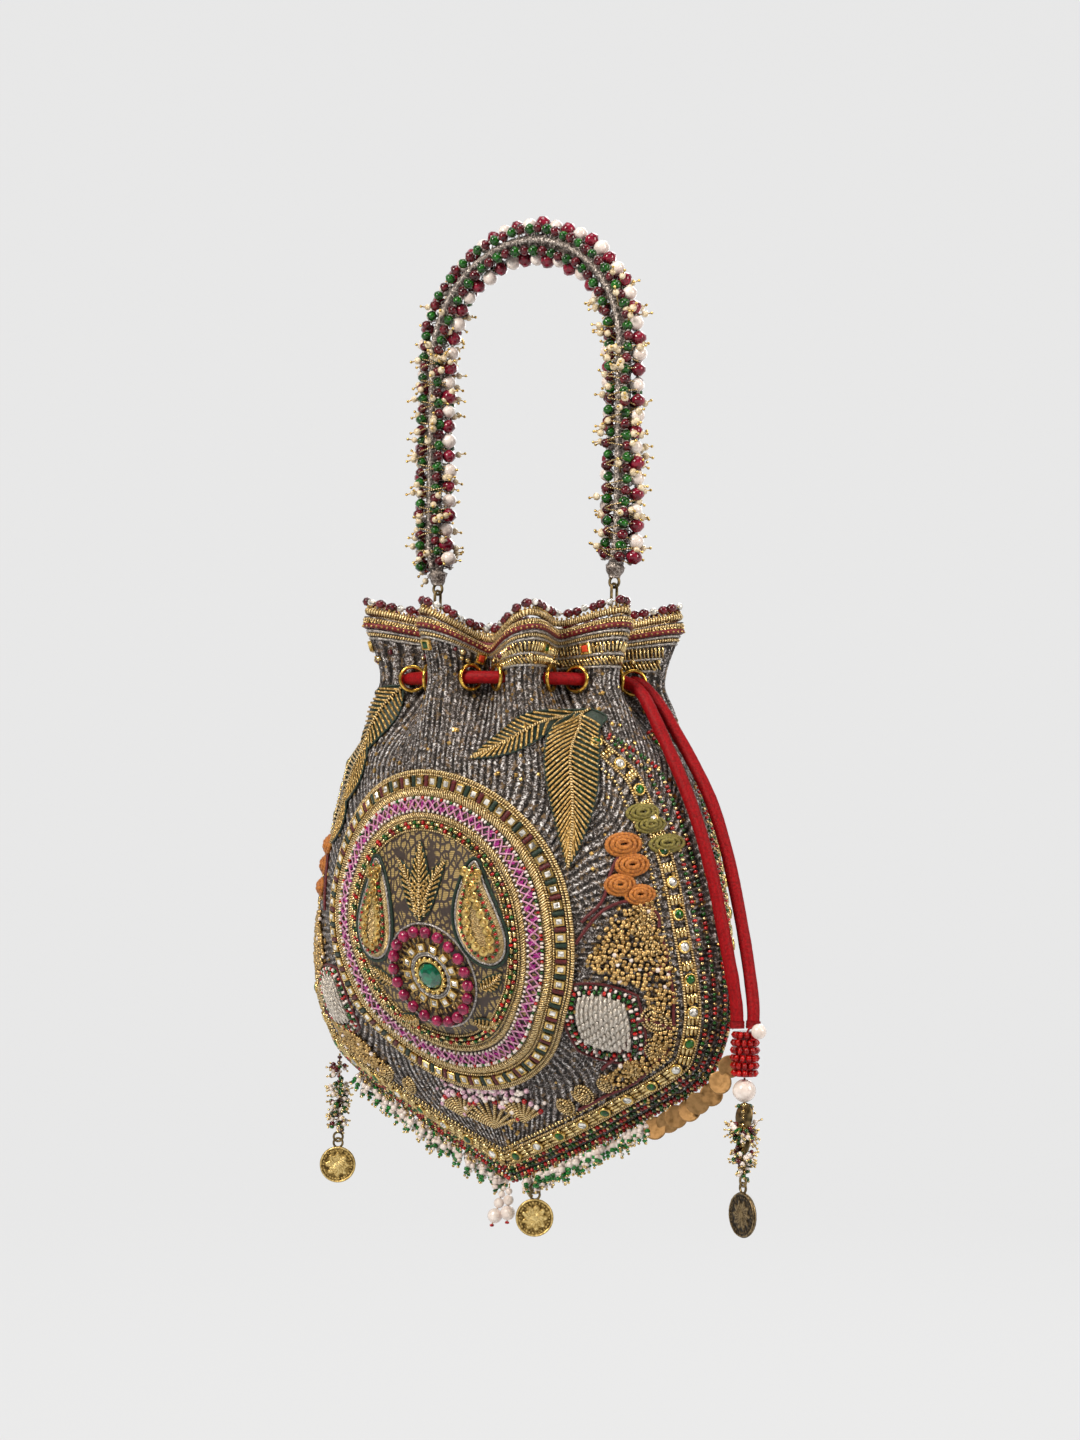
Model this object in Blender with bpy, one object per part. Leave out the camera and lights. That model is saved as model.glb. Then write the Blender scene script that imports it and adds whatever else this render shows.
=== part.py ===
"""Potli bag: an embroidered drawstring pouch that hangs from a beaded handle.

Units are metres and +Z is up. The bag hangs as it is carried, and the origin is the place that
bears on a hand or a hook: the underside of the top of the handle. Heights in this file are
measured from the pointed tip of the hem, and one empty carries everything down to the origin.
"""

import math

import bmesh
import bpy
from mathutils import Matrix, Vector

MM = 0.001
GAP = 0.3 * MM                    # clearance between pieces that touch

# Outline of the pouch, from the pointed hem up to the mouth
HEM_SLOPE_HEIGHT = 25 * MM        # halfway up the straight edge beside the tip
HEM_SLOPE_HALF_WIDTH = 53 * MM
HEM_SLOPE_HALF_DEPTH = 15 * MM
CORNER_HEIGHT = 50 * MM           # the rounded lower corners
CORNER_HALF_WIDTH = 91 * MM
CORNER_HALF_DEPTH = 31 * MM
WIDEST_HEIGHT = 72 * MM
WIDEST_HALF_WIDTH = 97 * MM
WIDEST_HALF_DEPTH = 49 * MM
BELLY_HEIGHT = 112 * MM
BELLY_HALF_WIDTH = 91.5 * MM
BELLY_HALF_DEPTH = 62 * MM
NECK_HEIGHT = 196 * MM            # the drawstring's level
SHOULDER_DROP = 36 * MM           # below the neck
SHOULDER_HEIGHT = NECK_HEIGHT - SHOULDER_DROP
SHOULDER_HALF_WIDTH = 75 * MM
SHOULDER_HALF_DEPTH = 62 * MM
THROAT_DROP = 14 * MM
THROAT_HEIGHT = NECK_HEIGHT - THROAT_DROP
THROAT_HALF_WIDTH = 59 * MM
THROAT_HALF_DEPTH = 55 * MM
NECK_RADIUS = 50 * MM
NECK_BAND = 5 * MM               # nearly upright cloth below the cord, where the eyelets sit
RUFFLE = 22 * MM                  # from the neck to the mouth
MOUTH_HEIGHT = NECK_HEIGHT + RUFFLE
MOUTH_RADIUS = 55 * MM
SEAM_SHARPNESS = 1.25             # over 1, the two panels meet at the side in an edge

# Cloth: embroidered face, padding and lining sewn as one
CLOTH = 2.4 * MM
FOLDS = 10                        # gathers round the neck
FOLD_STEPS = 6                    # facets round each gather
FOLD_DEPTH = 8.5 * MM             # half of crest to valley
FOLD_LENGTH = 35 * MM             # the gathers run out this far below the neck
FOLD_START = NECK_HEIGHT - FOLD_LENGTH
RUFFLE_DEPTH = 2 * MM             # the gathers open out by this much more at the mouth
RUFFLE_RISE = 2.5 * MM            # the mouth is higher on a crest than in a valley
MOUTH_DIP = 7 * MM                # one valley at the front hangs lower
MOUTH_DIP_ANGLE = math.radians(-70)
MOUTH_DIP_SPREAD = math.radians(17)
LINING_FLOOR = 13 * MM            # the inside ends this far above the tip

# Trim along the mouth
BRAID_RADIUS = 1.5 * MM
RIM_BEAD_RADIUS = 1.9 * MM
RIM_BEAD_PITCH = 8 * MM
RING_GAP = math.radians(6)        # here the bare thread goes through each handle ring
RIM_THREAD_RADIUS = 0.45 * MM

# Eyelets and drawstring
CORD_RADIUS = 2.6 * MM
CORD_CLEARANCE = 0.6 * MM
EYELET_WIRE = 0.75 * MM
EYELET_PLAY = 1.35 * MM           # the cord goes through each eyelet at a slant
EYELET_CLEARANCE = 1.6 * MM       # the cloth bulges towards an eyelet's lower side

# Trim along the edge of the front and back panels
EDGE_DROP = 20 * MM               # the trim starts this far below the neck
EDGE_TOP = NECK_HEIGHT - EDGE_DROP
SEAM_BEAD_RADIUS = 1.4 * MM
SEAM_BEAD_PITCH = 11 * MM
BORDER_INSET = 6.5 * MM
BORDER_PITCH = 15 * MM
STONE_HALF_WIDTH = 2.4 * MM
STONE_HALF_HEIGHT = 1.1 * MM
BUGLE_HALF_WIDTH = 1.7 * MM
BUGLE_HALF_HEIGHT = 0.7 * MM
FRINGE_RADIUS = 2.3 * MM
FRINGE_PITCH = 5.2 * MM
FRINGE_TIP_SPACE = 14 * MM        # bare hem each side of the tip
FRINGE_LEFT_END = 86 * MM         # along the hem from the tip
FRINGE_RIGHT_END = 66 * MM
EDGE_COINS = 5
EDGE_COIN_RADIUS = 4.1 * MM
EDGE_COIN_THICK = 0.5 * MM
EDGE_COIN_PITCH = 7.6 * MM

# Medallion on the front
MEDALLION_HEIGHT = 98.5 * MM
MEDALLION_HALF_WIDTH = 57.5 * MM
MEDALLION_HALF_HEIGHT = 61.5 * MM
MEDALLION_THICK = 1.0 * MM
MEDALLION_LIFT = 1.1 * MM         # clear of the facets of the cloth
SETTING_PITCH = 9.5 * MM          # framed mirrors round the medallion
SETTING_HALF = 2.5 * MM
SETTING_HEIGHT = 0.9 * MM
SETTING_INSET = 4.2 * MM
ROSETTE_HEIGHT = 83 * MM
ROSETTE_RADIUS = 17.5 * MM
ROSETTE_BEAD_RADIUS = 2.4 * MM
ROSETTE_STONE_RADIUS = 5.2 * MM
ROSETTE_STONE_HEIGHT = 3.6 * MM
PAISLEY_LENGTH = 46 * MM
PAISLEY_WIDTH = 22 * MM
PAISLEY_THICK = 1.4 * MM
PAISLEY_OFFSET = 28 * MM          # from the centre line to the middle of each
PAISLEY_HEIGHT = 112 * MM
PAISLEY_LEAN = math.radians(24)   # the two lean their tops together over the rosette

# Handle: beads sewn round a stiff plaited core
HANDLE_HALF_SPREAD = 46 * MM
HANDLE_RISE = 19 * MM             # the handle's ends above the mouth
HANDLE_END_HEIGHT = MOUTH_HEIGHT + HANDLE_RISE
HANDLE_TAPER = 18 * MM            # the ends lean in to the rings over this height
HANDLE_LEG = 91 * MM
HANDLE_SHOULDER = HANDLE_END_HEIGHT + HANDLE_LEG  # where the arch begins
CORE_RADIUS = 3.2 * MM
HANDLE_CAP = 5 * MM              # thread-wrapped cone at each end
HANDLE_CAP_RADIUS = 4.4 * MM
HANDLE_TIP_RADIUS = 2.4 * MM
SMALL_BEAD_RADIUS = 2.15 * MM
SMALL_BEAD_PITCH = 9.2 * MM
LARGE_BEAD_RADIUS = 2.9 * MM
LARGE_BEAD_PITCH = 9 * MM
FRONT_ROW_ANGLE = math.radians(44)
SIDE_ROW_ANGLE = math.radians(103)

# Wire loops, rings and links
WIRE_RADIUS = 0.6 * MM
LOOP_RADIUS = 2.2 * MM
THIN_WIRE = 0.5 * MM
SMALL_LOOP = 1.9 * MM
THREAD_RADIUS = 0.4 * MM
THREAD_DROP = 1.0 * MM

# Hanging charms
LEFT_CHARM_PLACE = 99 * MM       # along the seam from the tip
PEARL_DROP_ASIDE = 1.0 * MM       # the pearls hang beside the coin at the tip
COIN_ASIDE = 10 * MM
MIDDLE_CHAIN_LENGTH = 3.0 * MM
COIN_RADIUS = 7.5 * MM
COIN_THICK = 1.1 * MM
LEFT_STRAND_LENGTH = 33 * MM
STRAND_BEAD_RADIUS = 2.2 * MM
STRAND_BEAD_PITCH = 4.6 * MM
PEARL_RADIUS = 3.4 * MM
PEARL_DROP_LENGTH = 18 * MM
TASSEL_COIN_RADIUS = 8.5 * MM
TASSEL_STRAND_LENGTH = 37 * MM
TASSEL_CAP_RADIUS = 5.6 * MM
TASSEL_CAP_LENGTH = 17 * MM
TASSEL_X = 108 * MM
TASSEL_Y = -4 * MM
TASSEL_TOP = 64.5 * MM
COIN_TURN = math.radians(33)      # the left and middle coins hang turned this far
TASSEL_COIN_TURN = math.radians(-25)

# The free ends of the drawstring, point by point from the eyelet: x, y and height over their ends
TAIL_END_HEIGHT = TASSEL_TOP + GAP * 5 / 3
TAIL_FRONT = (
    (50.4, -5.2, 131.0), (52.0, -4.2, 130.6), (56.2, -4.1, 128.8), (60.6, -4.6, 125.2),
    (65.4, -5.6, 118.6),
    (71.8, -6.6, 108.2), (80.5, -7.5, 93.0), (88.5, -8.0, 76.0), (94.8, -7.6, 57.0),
    (99.5, -7.0, 37.0), (103.0, -6.4, 21.0), (105.2, -6.0, 9.0), (105.7, -6.0, 0.0),
)
TAIL_BACK = (
    (50.4, 5.2, 131.0), (52.0, 4.2, 130.7), (56.6, 3.9, 128.4), (62.4, 3.7, 122.6),
    (68.8, 3.6, 114.0),
    (77.0, 3.6, 102.0), (86.6, 3.4, 86.0), (94.0, 2.9, 68.0), (99.8, 2.4, 48.0),
    (104.4, 1.6, 30.0), (108.0, 0.2, 15.0), (109.8, -1.2, 7.0), (110.2, -2.0, 0.0),
)
CORD_POINT_STEP = 9 * MM
CORD_BEND = 1.8 * MM              # straight length where a tail follows on from the neck

ROOT = "hang_point"


# Plain helpers


def smooth(t):
    """0 to 1 with no corner at either end."""
    t = min(max(t, 0.0), 1.0)
    return t * t * (3 - 2 * t)


def curve_through(stations):
    """A function through (place, size) stations that never swings past them between two of them."""
    xs, ys = zip(*stations)
    runs = [b - a for a, b in zip(xs, xs[1:])]
    rises = [(b - a) / h for a, b, h in zip(ys, ys[1:], runs)]
    slopes = [rises[0]]
    for before, after, h0, h1 in zip(rises, rises[1:], runs, runs[1:]):
        if before * after <= 0:
            slopes.append(0.0)
        else:
            near, far = 2 * h1 + h0, h1 + 2 * h0
            slopes.append((near + far) / (near / before + far / after))
    slopes.append(rises[-1])

    def at(x):
        x = min(max(x, xs[0]), xs[-1])
        i = max(k for k in range(len(runs)) if xs[k] <= x)
        h = runs[i]
        t = (x - xs[i]) / h
        return (
            ys[i] * (1 + 2 * t) * (1 - t) ** 2
            + slopes[i] * h * t * (1 - t) ** 2
            + ys[i + 1] * t * t * (3 - 2 * t)
            + slopes[i + 1] * h * t * t * (t - 1)
        )

    return at


def smooth_route(points, step):
    """Points about one step apart on a smooth curve through the given ones."""
    ends = [points[0] * 2 - points[1], *points, points[-1] * 2 - points[-2]]
    found = [points[0]]
    for a, b, c, d in zip(ends, ends[1:], ends[2:], ends[3:]):
        n = max(1, round((c - b).length / step))
        for k in range(1, n + 1):
            t = k / n
            found.append(
                0.5 * (2 * b + (c - a) * t + (2 * a - 5 * b + 4 * c - d) * t * t
                       + (3 * b - a - 3 * c + d) * t ** 3)
            )
    return found


class Route:
    """A line through closely spaced points, read by the length along it."""

    def __init__(self, points):
        self.points = points
        self.lengths = [0.0]
        for a, b in zip(points, points[1:]):
            self.lengths.append(self.lengths[-1] + (b - a).length)
        self.total = self.lengths[-1]

    def at(self, length):
        """The point and the direction there."""
        s = min(max(length, 0.0), self.total)
        i = max(k for k in range(len(self.points) - 1) if self.lengths[k] <= s)
        a, b = self.points[i], self.points[i + 1]
        share = (s - self.lengths[i]) / (self.lengths[i + 1] - self.lengths[i])
        last = len(self.points) - 1
        way = self.points[min(i + 3, last)] - self.points[max(i - 2, 0)]
        return a.lerp(b, share), way.normalized()


def material(name, colour, roughness, metallic=0.0):
    found = bpy.data.materials.get(name)
    if found:
        return found
    made = bpy.data.materials.new(name)
    made.use_nodes = True
    shader = made.node_tree.nodes["Principled BSDF"]
    shader.inputs["Base Color"].default_value = (*colour, 1)
    shader.inputs["Roughness"].default_value = roughness
    shader.inputs["Metallic"].default_value = metallic
    made.diffuse_color = (*colour, 1)
    return made


def finishes():
    """Every finish of the bag, by the name that its pieces use."""
    return {
        "embroidered_cloth": material("embroidered_cloth", (0.30, 0.27, 0.26), 0.6),
        "gold_braid": material("gold_braid", (0.52, 0.38, 0.17), 0.45, 0.6),
        "maroon_glass": material("maroon_glass", (0.25, 0.02, 0.04), 0.15),
        "gold_metal": material("gold_metal", (0.75, 0.50, 0.18), 0.3, 1.0),
        "gilt_setting": material("gilt_setting", (0.72, 0.52, 0.22), 0.3, 0.8),
        "aged_brass": material("aged_brass", (0.42, 0.30, 0.13), 0.45, 1.0),
        "red_satin": material("red_satin", (0.45, 0.02, 0.03), 0.4),
        "pearl": material("pearl", (0.86, 0.80, 0.76), 0.25),
        "silver_plait": material("silver_plait", (0.50, 0.46, 0.43), 0.4, 0.5),
        "green_glass": material("green_glass", (0.02, 0.22, 0.07), 0.15),
        "pink_bead": material("pink_bead", (0.50, 0.06, 0.20), 0.3),
        "red_bead": material("red_bead", (0.60, 0.02, 0.02), 0.2),
        "brocade": material("brocade", (0.36, 0.28, 0.20), 0.6),
    }


def add_object(name, mesh_or_curve, finish):
    made = bpy.data.objects.new(name, mesh_or_curve)
    made.data.materials.append(finish)
    bpy.context.scene.collection.objects.link(made)
    made.parent = bpy.data.objects[ROOT]
    return made


def add_mesh(name, points, faces, finish):
    mesh = bpy.data.meshes.new(name)
    mesh.from_pydata([tuple(p) for p in points], [], faces)
    mesh.validate()
    work = bmesh.new()
    work.from_mesh(mesh)
    bmesh.ops.recalc_face_normals(work, faces=work.faces)
    work.to_mesh(mesh)
    work.free()
    mesh.shade_smooth()
    mesh.set_sharp_from_angle(angle=math.radians(50))
    return add_object(name, mesh, finish)


def sweep(name, rings, sides, closed, finish, square=False):
    """One closed body through rings of (centre, side, up, half width, half height)."""
    if square:
        corners = [(1, 1), (-1, 1), (-1, -1), (1, -1)]
    else:
        turns = [2 * math.pi * k / sides for k in range(sides)]
        corners = [(math.cos(turn), math.sin(turn)) for turn in turns]
    points, faces = [], []
    for centre, side, up, half_width, half_height in rings:
        points += [centre + side * (half_width * a) + up * (half_height * b) for a, b in corners]
    count = len(rings)
    for i in range(count if closed else count - 1):
        j = (i + 1) % count
        for k in range(sides):
            m = (k + 1) % sides
            faces.append((i * sides + k, i * sides + m, j * sides + m, j * sides + k))
    if not closed:
        faces.append(tuple(range(sides)))
        faces.append(tuple((count - 1) * sides + k for k in range(sides)))
    return add_mesh(name, points, faces, finish)


def torus(name, centre, normal, along, ring_radius, wire, finish, steps=10, sides=5, straight=0.0):
    """A wire ring. With straight set it is a link, longer by that much on the line along."""
    normal, along = normal.normalized(), along.normalized()
    across = normal.cross(along)
    rings = []
    for i in range(steps):
        turn = 2 * math.pi * (i + 0.5) / steps
        out = along * math.cos(turn) + across * math.sin(turn)
        shift = along * math.copysign(straight / 2, math.cos(turn))
        rings.append((centre + shift + out * ring_radius, out, normal, wire, wire))
    return sweep(name, rings, sides, True, finish)


def disc(name, centre, normal, radius, thickness, finish, sides=20):
    """A flat round plate, such as a coin."""
    work = bmesh.new()
    bmesh.ops.create_cone(
        work, cap_ends=True, segments=sides, radius1=radius, radius2=radius, depth=thickness
    )
    turn = normal.to_track_quat("Z", "Y").to_matrix().to_4x4()
    bmesh.ops.transform(work, matrix=Matrix.Translation(centre) @ turn, verts=work.verts)
    mesh = bpy.data.meshes.new(name)
    work.to_mesh(mesh)
    work.free()
    return add_object(name, mesh, finish)


def join_solids(base, other):
    """Boolean union of two overlapping solids, kept under the first one's name."""
    cut = base.modifiers.new("join", "BOOLEAN")
    cut.solver = "EXACT"
    cut.operation = "UNION"
    cut.object = other
    other.hide_render = True
    other.display_type = "WIRE"
    return base


# Shape of the pouch

half_width = curve_through((
    (0, 0), (HEM_SLOPE_HEIGHT, HEM_SLOPE_HALF_WIDTH), (CORNER_HEIGHT, CORNER_HALF_WIDTH),
    (WIDEST_HEIGHT, WIDEST_HALF_WIDTH), (BELLY_HEIGHT, BELLY_HALF_WIDTH),
    (SHOULDER_HEIGHT, SHOULDER_HALF_WIDTH), (THROAT_HEIGHT, THROAT_HALF_WIDTH),
    (NECK_HEIGHT, NECK_RADIUS), (MOUTH_HEIGHT, MOUTH_RADIUS),
))
half_depth = curve_through((
    (0, 0), (HEM_SLOPE_HEIGHT, HEM_SLOPE_HALF_DEPTH), (CORNER_HEIGHT, CORNER_HALF_DEPTH),
    (WIDEST_HEIGHT, WIDEST_HALF_DEPTH), (BELLY_HEIGHT, BELLY_HALF_DEPTH),
    (SHOULDER_HEIGHT, SHOULDER_HALF_DEPTH), (THROAT_HEIGHT, THROAT_HALF_DEPTH),
    (NECK_HEIGHT, NECK_RADIUS), (MOUTH_HEIGHT, MOUTH_RADIUS),
))


def sharpness(z):
    """Exponent of the cross-section: an edge at the side low down, round at the neck."""
    blend = smooth((z - BELLY_HEIGHT) / (NECK_HEIGHT - BELLY_HEIGHT))
    return SEAM_SHARPNESS + (1 - SEAM_SHARPNESS) * blend


def fold_size(z):
    gathered = FOLD_DEPTH * smooth((z - FOLD_START) / (NECK_HEIGHT - FOLD_START))
    return gathered + RUFFLE_DEPTH * smooth((z - NECK_HEIGHT) / (MOUTH_HEIGHT - NECK_HEIGHT))


def cloth_point(z, angle, inwards=0.0):
    """A point of the cloth. Angle 0 is the seam at +X and a valley, -90 degrees is the front."""
    fold = -fold_size(z) * math.cos(FOLDS * angle)
    width = max(half_width(z) + fold - inwards, 0.0)
    depth = max(half_depth(z) + fold - inwards, 0.0)
    sine = math.sin(angle)
    across = math.copysign(abs(sine) ** sharpness(z), sine)
    above_neck = max(z - NECK_HEIGHT, 0.0) / (MOUTH_HEIGHT - NECK_HEIGHT)
    dip = MOUTH_DIP * math.exp(-(((angle - MOUTH_DIP_ANGLE) / MOUTH_DIP_SPREAD) ** 2))
    rise = above_neck * (-RUFFLE_RISE * math.cos(FOLDS * angle) - dip)
    return Vector((width * math.cos(angle), depth * across, z + rise))


def front_point(x, z, lift=0.0, side=-1):
    """A point over the front panel at (x, z), lifted off it. side=1 gives the back panel."""

    def surface(px, pz):
        share = min(abs(px) / max(half_width(pz), 1e-6), 0.9995)
        return Vector((px, side * half_depth(pz) * (1 - share * share) ** (sharpness(pz) / 2), pz))

    step = 0.4 * MM
    across = surface(x + step, z) - surface(x - step, z)
    upward = surface(x, z + step) - surface(x, max(z - step, 0))
    normal = across.cross(upward).normalized() * -side
    return surface(x, z) + normal * lift, normal


def heights(stops):
    """Row heights between (height, rows up to the next) stops."""
    found = []
    for (low, rows), (high, _) in zip(stops, stops[1:]):
        found += [low + (high - low) * k / rows for k in range(rows)]
    return found + [stops[-1][0]]


def around():
    """Angles of the cloth's columns: one on every crest and valley, and flat flanks between."""
    count = FOLDS * FOLD_STEPS
    return [2 * math.pi * k / count - math.pi for k in range(count)]


def make_shell(paint):
    """The pouch itself: one closed wall with an open mouth and gathers at the neck."""
    outer_rows = heights((
        (0.0, 4), (CORNER_HEIGHT, 3), (BELLY_HEIGHT, 2), (FOLD_START, 3), (NECK_HEIGHT - NECK_BAND, 1),
        (NECK_HEIGHT, 3), (MOUTH_HEIGHT, 0),
    ))[1:]
    inner_rows = heights((
        (LINING_FLOOR, 2), (CORNER_HEIGHT, 2), (BELLY_HEIGHT, 1), (FOLD_START, 2), (NECK_HEIGHT, 2),
        (MOUTH_HEIGHT, 0),
    ))[1:]
    angles = around()
    columns = len(angles)
    points = [cloth_point(z, a) for z in outer_rows for a in angles]
    inner_start = len(points)
    points += [cloth_point(z, a, CLOTH) for z in inner_rows for a in angles]
    tip, floor = len(points), len(points) + 1
    points += [Vector((0, 0, 0)), Vector((0, 0, LINING_FLOOR))]
    faces = []

    def skin(start, rows):
        for r in range(rows - 1):
            for k in range(columns):
                m = (k + 1) % columns
                low, high = start + r * columns, start + (r + 1) * columns
                faces.append((low + k, low + m, high + m, high + k))

    skin(0, len(outer_rows))
    skin(inner_start, len(inner_rows))
    top, inner_top = (len(outer_rows) - 1) * columns, inner_start + (len(inner_rows) - 1) * columns
    for k in range(columns):
        m = (k + 1) % columns
        faces.append((tip, m, k))
        faces.append((floor, inner_start + k, inner_start + m))
        faces.append((top + k, top + m, inner_top + m, inner_top + k))
    shell = add_mesh("bag_shell", points, faces, paint["embroidered_cloth"])
    passage = cord_tube("cord_passage", neck_route(), CORD_RADIUS + CORD_CLEARANCE, None)
    bore = bpy.data.meshes.new_from_object(passage)
    bpy.data.objects.remove(passage)
    work = bmesh.new()
    work.from_mesh(bore)
    bmesh.ops.remove_doubles(work, verts=work.verts, dist=0.01 * MM)
    bmesh.ops.recalc_face_normals(work, faces=work.faces)
    work.to_mesh(bore)
    work.free()
    cutter = add_object("cord_passage", bore, paint["embroidered_cloth"])
    cutter.hide_render = True
    cutter.display_type = "WIRE"
    cut = shell.modifiers.new("cord_passage", "BOOLEAN")
    cut.solver = "EXACT"
    cut.operation = "DIFFERENCE"
    cut.object = cutter


# Drawstring


def tail_route(points):
    """A tail's route, with its heights stretched so that it starts at the neck."""
    stretch = (NECK_HEIGHT - TAIL_END_HEIGHT) / (points[0][2] * MM)
    return [Vector((x * MM, y * MM, TAIL_END_HEIGHT + z * MM * stretch)) for x, y, z in points]


def eyelet_turn():
    """How far past the cloth the middle of an eyelet is, as an angle round the neck."""
    slope = math.atan2(FOLDS * FOLD_DEPTH, NECK_RADIUS)
    return (EYELET_CLEARANCE + EYELET_WIRE) / math.sin(slope) / NECK_RADIUS


def neck_route():
    """The drawstring's ring through the gathers, from the back end to the front end."""
    first = 0.25 * 2 * math.pi / FOLDS - eyelet_turn()
    steps = 40
    ring = []
    for k in range(steps + 1):
        turn = first + (2 * math.pi - 2 * first) * k / steps
        ring.append(Vector((NECK_RADIUS * math.cos(turn), NECK_RADIUS * math.sin(turn), NECK_HEIGHT)))
    route = []
    for points, place in ((TAIL_BACK, ring[0]), (TAIL_FRONT, ring[-1])):
        end, following = tail_route(points)[:2]
        route.append((end, end - (following - end).normalized() * CORD_BEND))
    return [route[0][0], route[0][1], *ring[1:-1], route[1][1], route[1][0]]


def cord_tube(name, points, radius, finish, end_scale=1.0):
    curve = bpy.data.curves.new(name, "CURVE")
    curve.dimensions = "3D"
    curve.bevel_depth = radius
    curve.bevel_resolution = 2
    curve.use_fill_caps = True
    spline = curve.splines.new("POLY")
    spline.points.add(len(points) - 1)
    for slot, point in zip(spline.points, points):
        slot.co = (*point, 1)
    spline.points[-1].radius = end_scale
    if finish is None:
        made = bpy.data.objects.new(name, curve)
        bpy.context.scene.collection.objects.link(made)
        return made
    return add_object(name, curve, finish)


def shortened(points, amount):
    """The route with its two ends drawn back a little, so that it doesn't meet the next piece."""
    first = points[0] + (points[1] - points[0]).normalized() * amount
    last = points[-1] + (points[-2] - points[-1]).normalized() * amount
    return [first, *points[1:-1], last]


def make_drawstring(paint):
    cord_tube("drawstring_neck", shortened(neck_route(), GAP / 2), CORD_RADIUS, paint["red_satin"])
    for name, points in (("drawstring_tail_front", TAIL_FRONT), ("drawstring_tail_back", TAIL_BACK)):
        route = smooth_route(tail_route(points), CORD_POINT_STEP)
        cord_tube(name, shortened(route, GAP / 2), CORD_RADIUS, paint["red_satin"], end_scale=0.85)


def make_eyelets(paint):
    """A brass eyelet where the cord goes through each side of every gather."""
    number = 0
    for valley in range(FOLDS):
        for way in (-1, 1):
            angle = 2 * math.pi * (valley + way * 0.25) / FOLDS
            number += 1
            probe = math.radians(0.6)
            along = cloth_point(NECK_HEIGHT, angle + probe) - cloth_point(NECK_HEIGHT, angle - probe)
            normal = along.cross(Vector((0, 0, 1))).normalized()
            turn = angle - way * eyelet_turn()
            place = Vector((math.cos(turn), math.sin(turn), 0)) * NECK_RADIUS
            torus(
                f"eyelet_{number:02d}", place + Vector((0, 0, NECK_HEIGHT)), normal,
                Vector((0, 0, 1)), CORD_RADIUS + EYELET_PLAY + EYELET_WIRE, EYELET_WIRE,
                paint["gold_metal"], steps=12, sides=4,
            )


# Trim along the mouth


def make_mouth_trim(paint):
    def rim(angle, lift):
        middle = cloth_point(MOUTH_HEIGHT, angle, CLOTH / 2)
        return middle + Vector((0, 0, lift))

    def ring_at(angle, lift, radius):
        ahead = rim(angle + 0.02, lift) - rim(angle - 0.02, lift)
        side = ahead.cross(Vector((0, 0, 1))).normalized()
        return (rim(angle, lift), side, side.cross(ahead).normalized(), radius, radius)

    braid_lift = BRAID_RADIUS + GAP * 1.6
    sweep("rim_braid", [ring_at(a, braid_lift, BRAID_RADIUS) for a in around()], 4, True,
          paint["gold_braid"])
    bead_lift = 2 * BRAID_RADIUS + RIM_BEAD_RADIUS + GAP * 3
    beads = 2 * round(1.25 * math.pi * MOUTH_RADIUS / RIM_BEAD_PITCH)
    string = []
    for k in range(2 * beads):
        angle = math.pi * (k + 0.5) / beads - math.pi
        from_seam = abs(math.remainder(angle, math.pi))
        if from_seam < RING_GAP:
            radius = RIM_THREAD_RADIUS
        else:
            radius = RIM_BEAD_RADIUS if k % 2 else RIM_BEAD_RADIUS * 0.55
        string.append(ring_at(angle, bead_lift, radius))
    sweep("rim_beads", string, 4, True, paint["maroon_glass"])


def rim_top():
    """Height of the braid's top in the seam's valley."""
    return cloth_point(MOUTH_HEIGHT, 0.0).z + 2 * BRAID_RADIUS + GAP * 1.6


def ring_x():
    return cloth_point(MOUTH_HEIGHT, 0.0, CLOTH / 2).x


# Trim along the panels' edges


class Outline:
    """The seam in the plane Y = 0, by length from the tip. Negative lengths run up the left side."""

    def __init__(self, top, steps=240):
        rows = [top * k / steps for k in range(steps + 1)]
        self.route = Route([Vector((half_width(z) - fold_size(z), 0, z)) for z in rows])
        self.total = self.route.total

    def at(self, length):
        """The point and the direction outwards there."""
        point, way = self.route.at(abs(length))
        out = Vector((way.z, 0, -way.x)) if abs(length) > 1e-9 else Vector((0, 0, -1))
        if length < 0:
            point.x, out.x = -point.x, -out.x
        return point, out


def edge_strand(outline, start, end, offset, pitch, large, small, centre_y=0.0):
    """Rings of a row of beads that lies along the seam, off it by a distance."""
    count = max(1, round(abs(end - start) / pitch))
    rings = []
    for k in range(2 * count + 1):
        s = start + (end - start) * k / (2 * count)
        point, out = outline.at(s)
        side = Vector((0, 1, 0))
        radius = large if k % 2 else small
        rings.append((point + out * offset + side * centre_y, side, out, radius, radius))
    return rings


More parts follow.
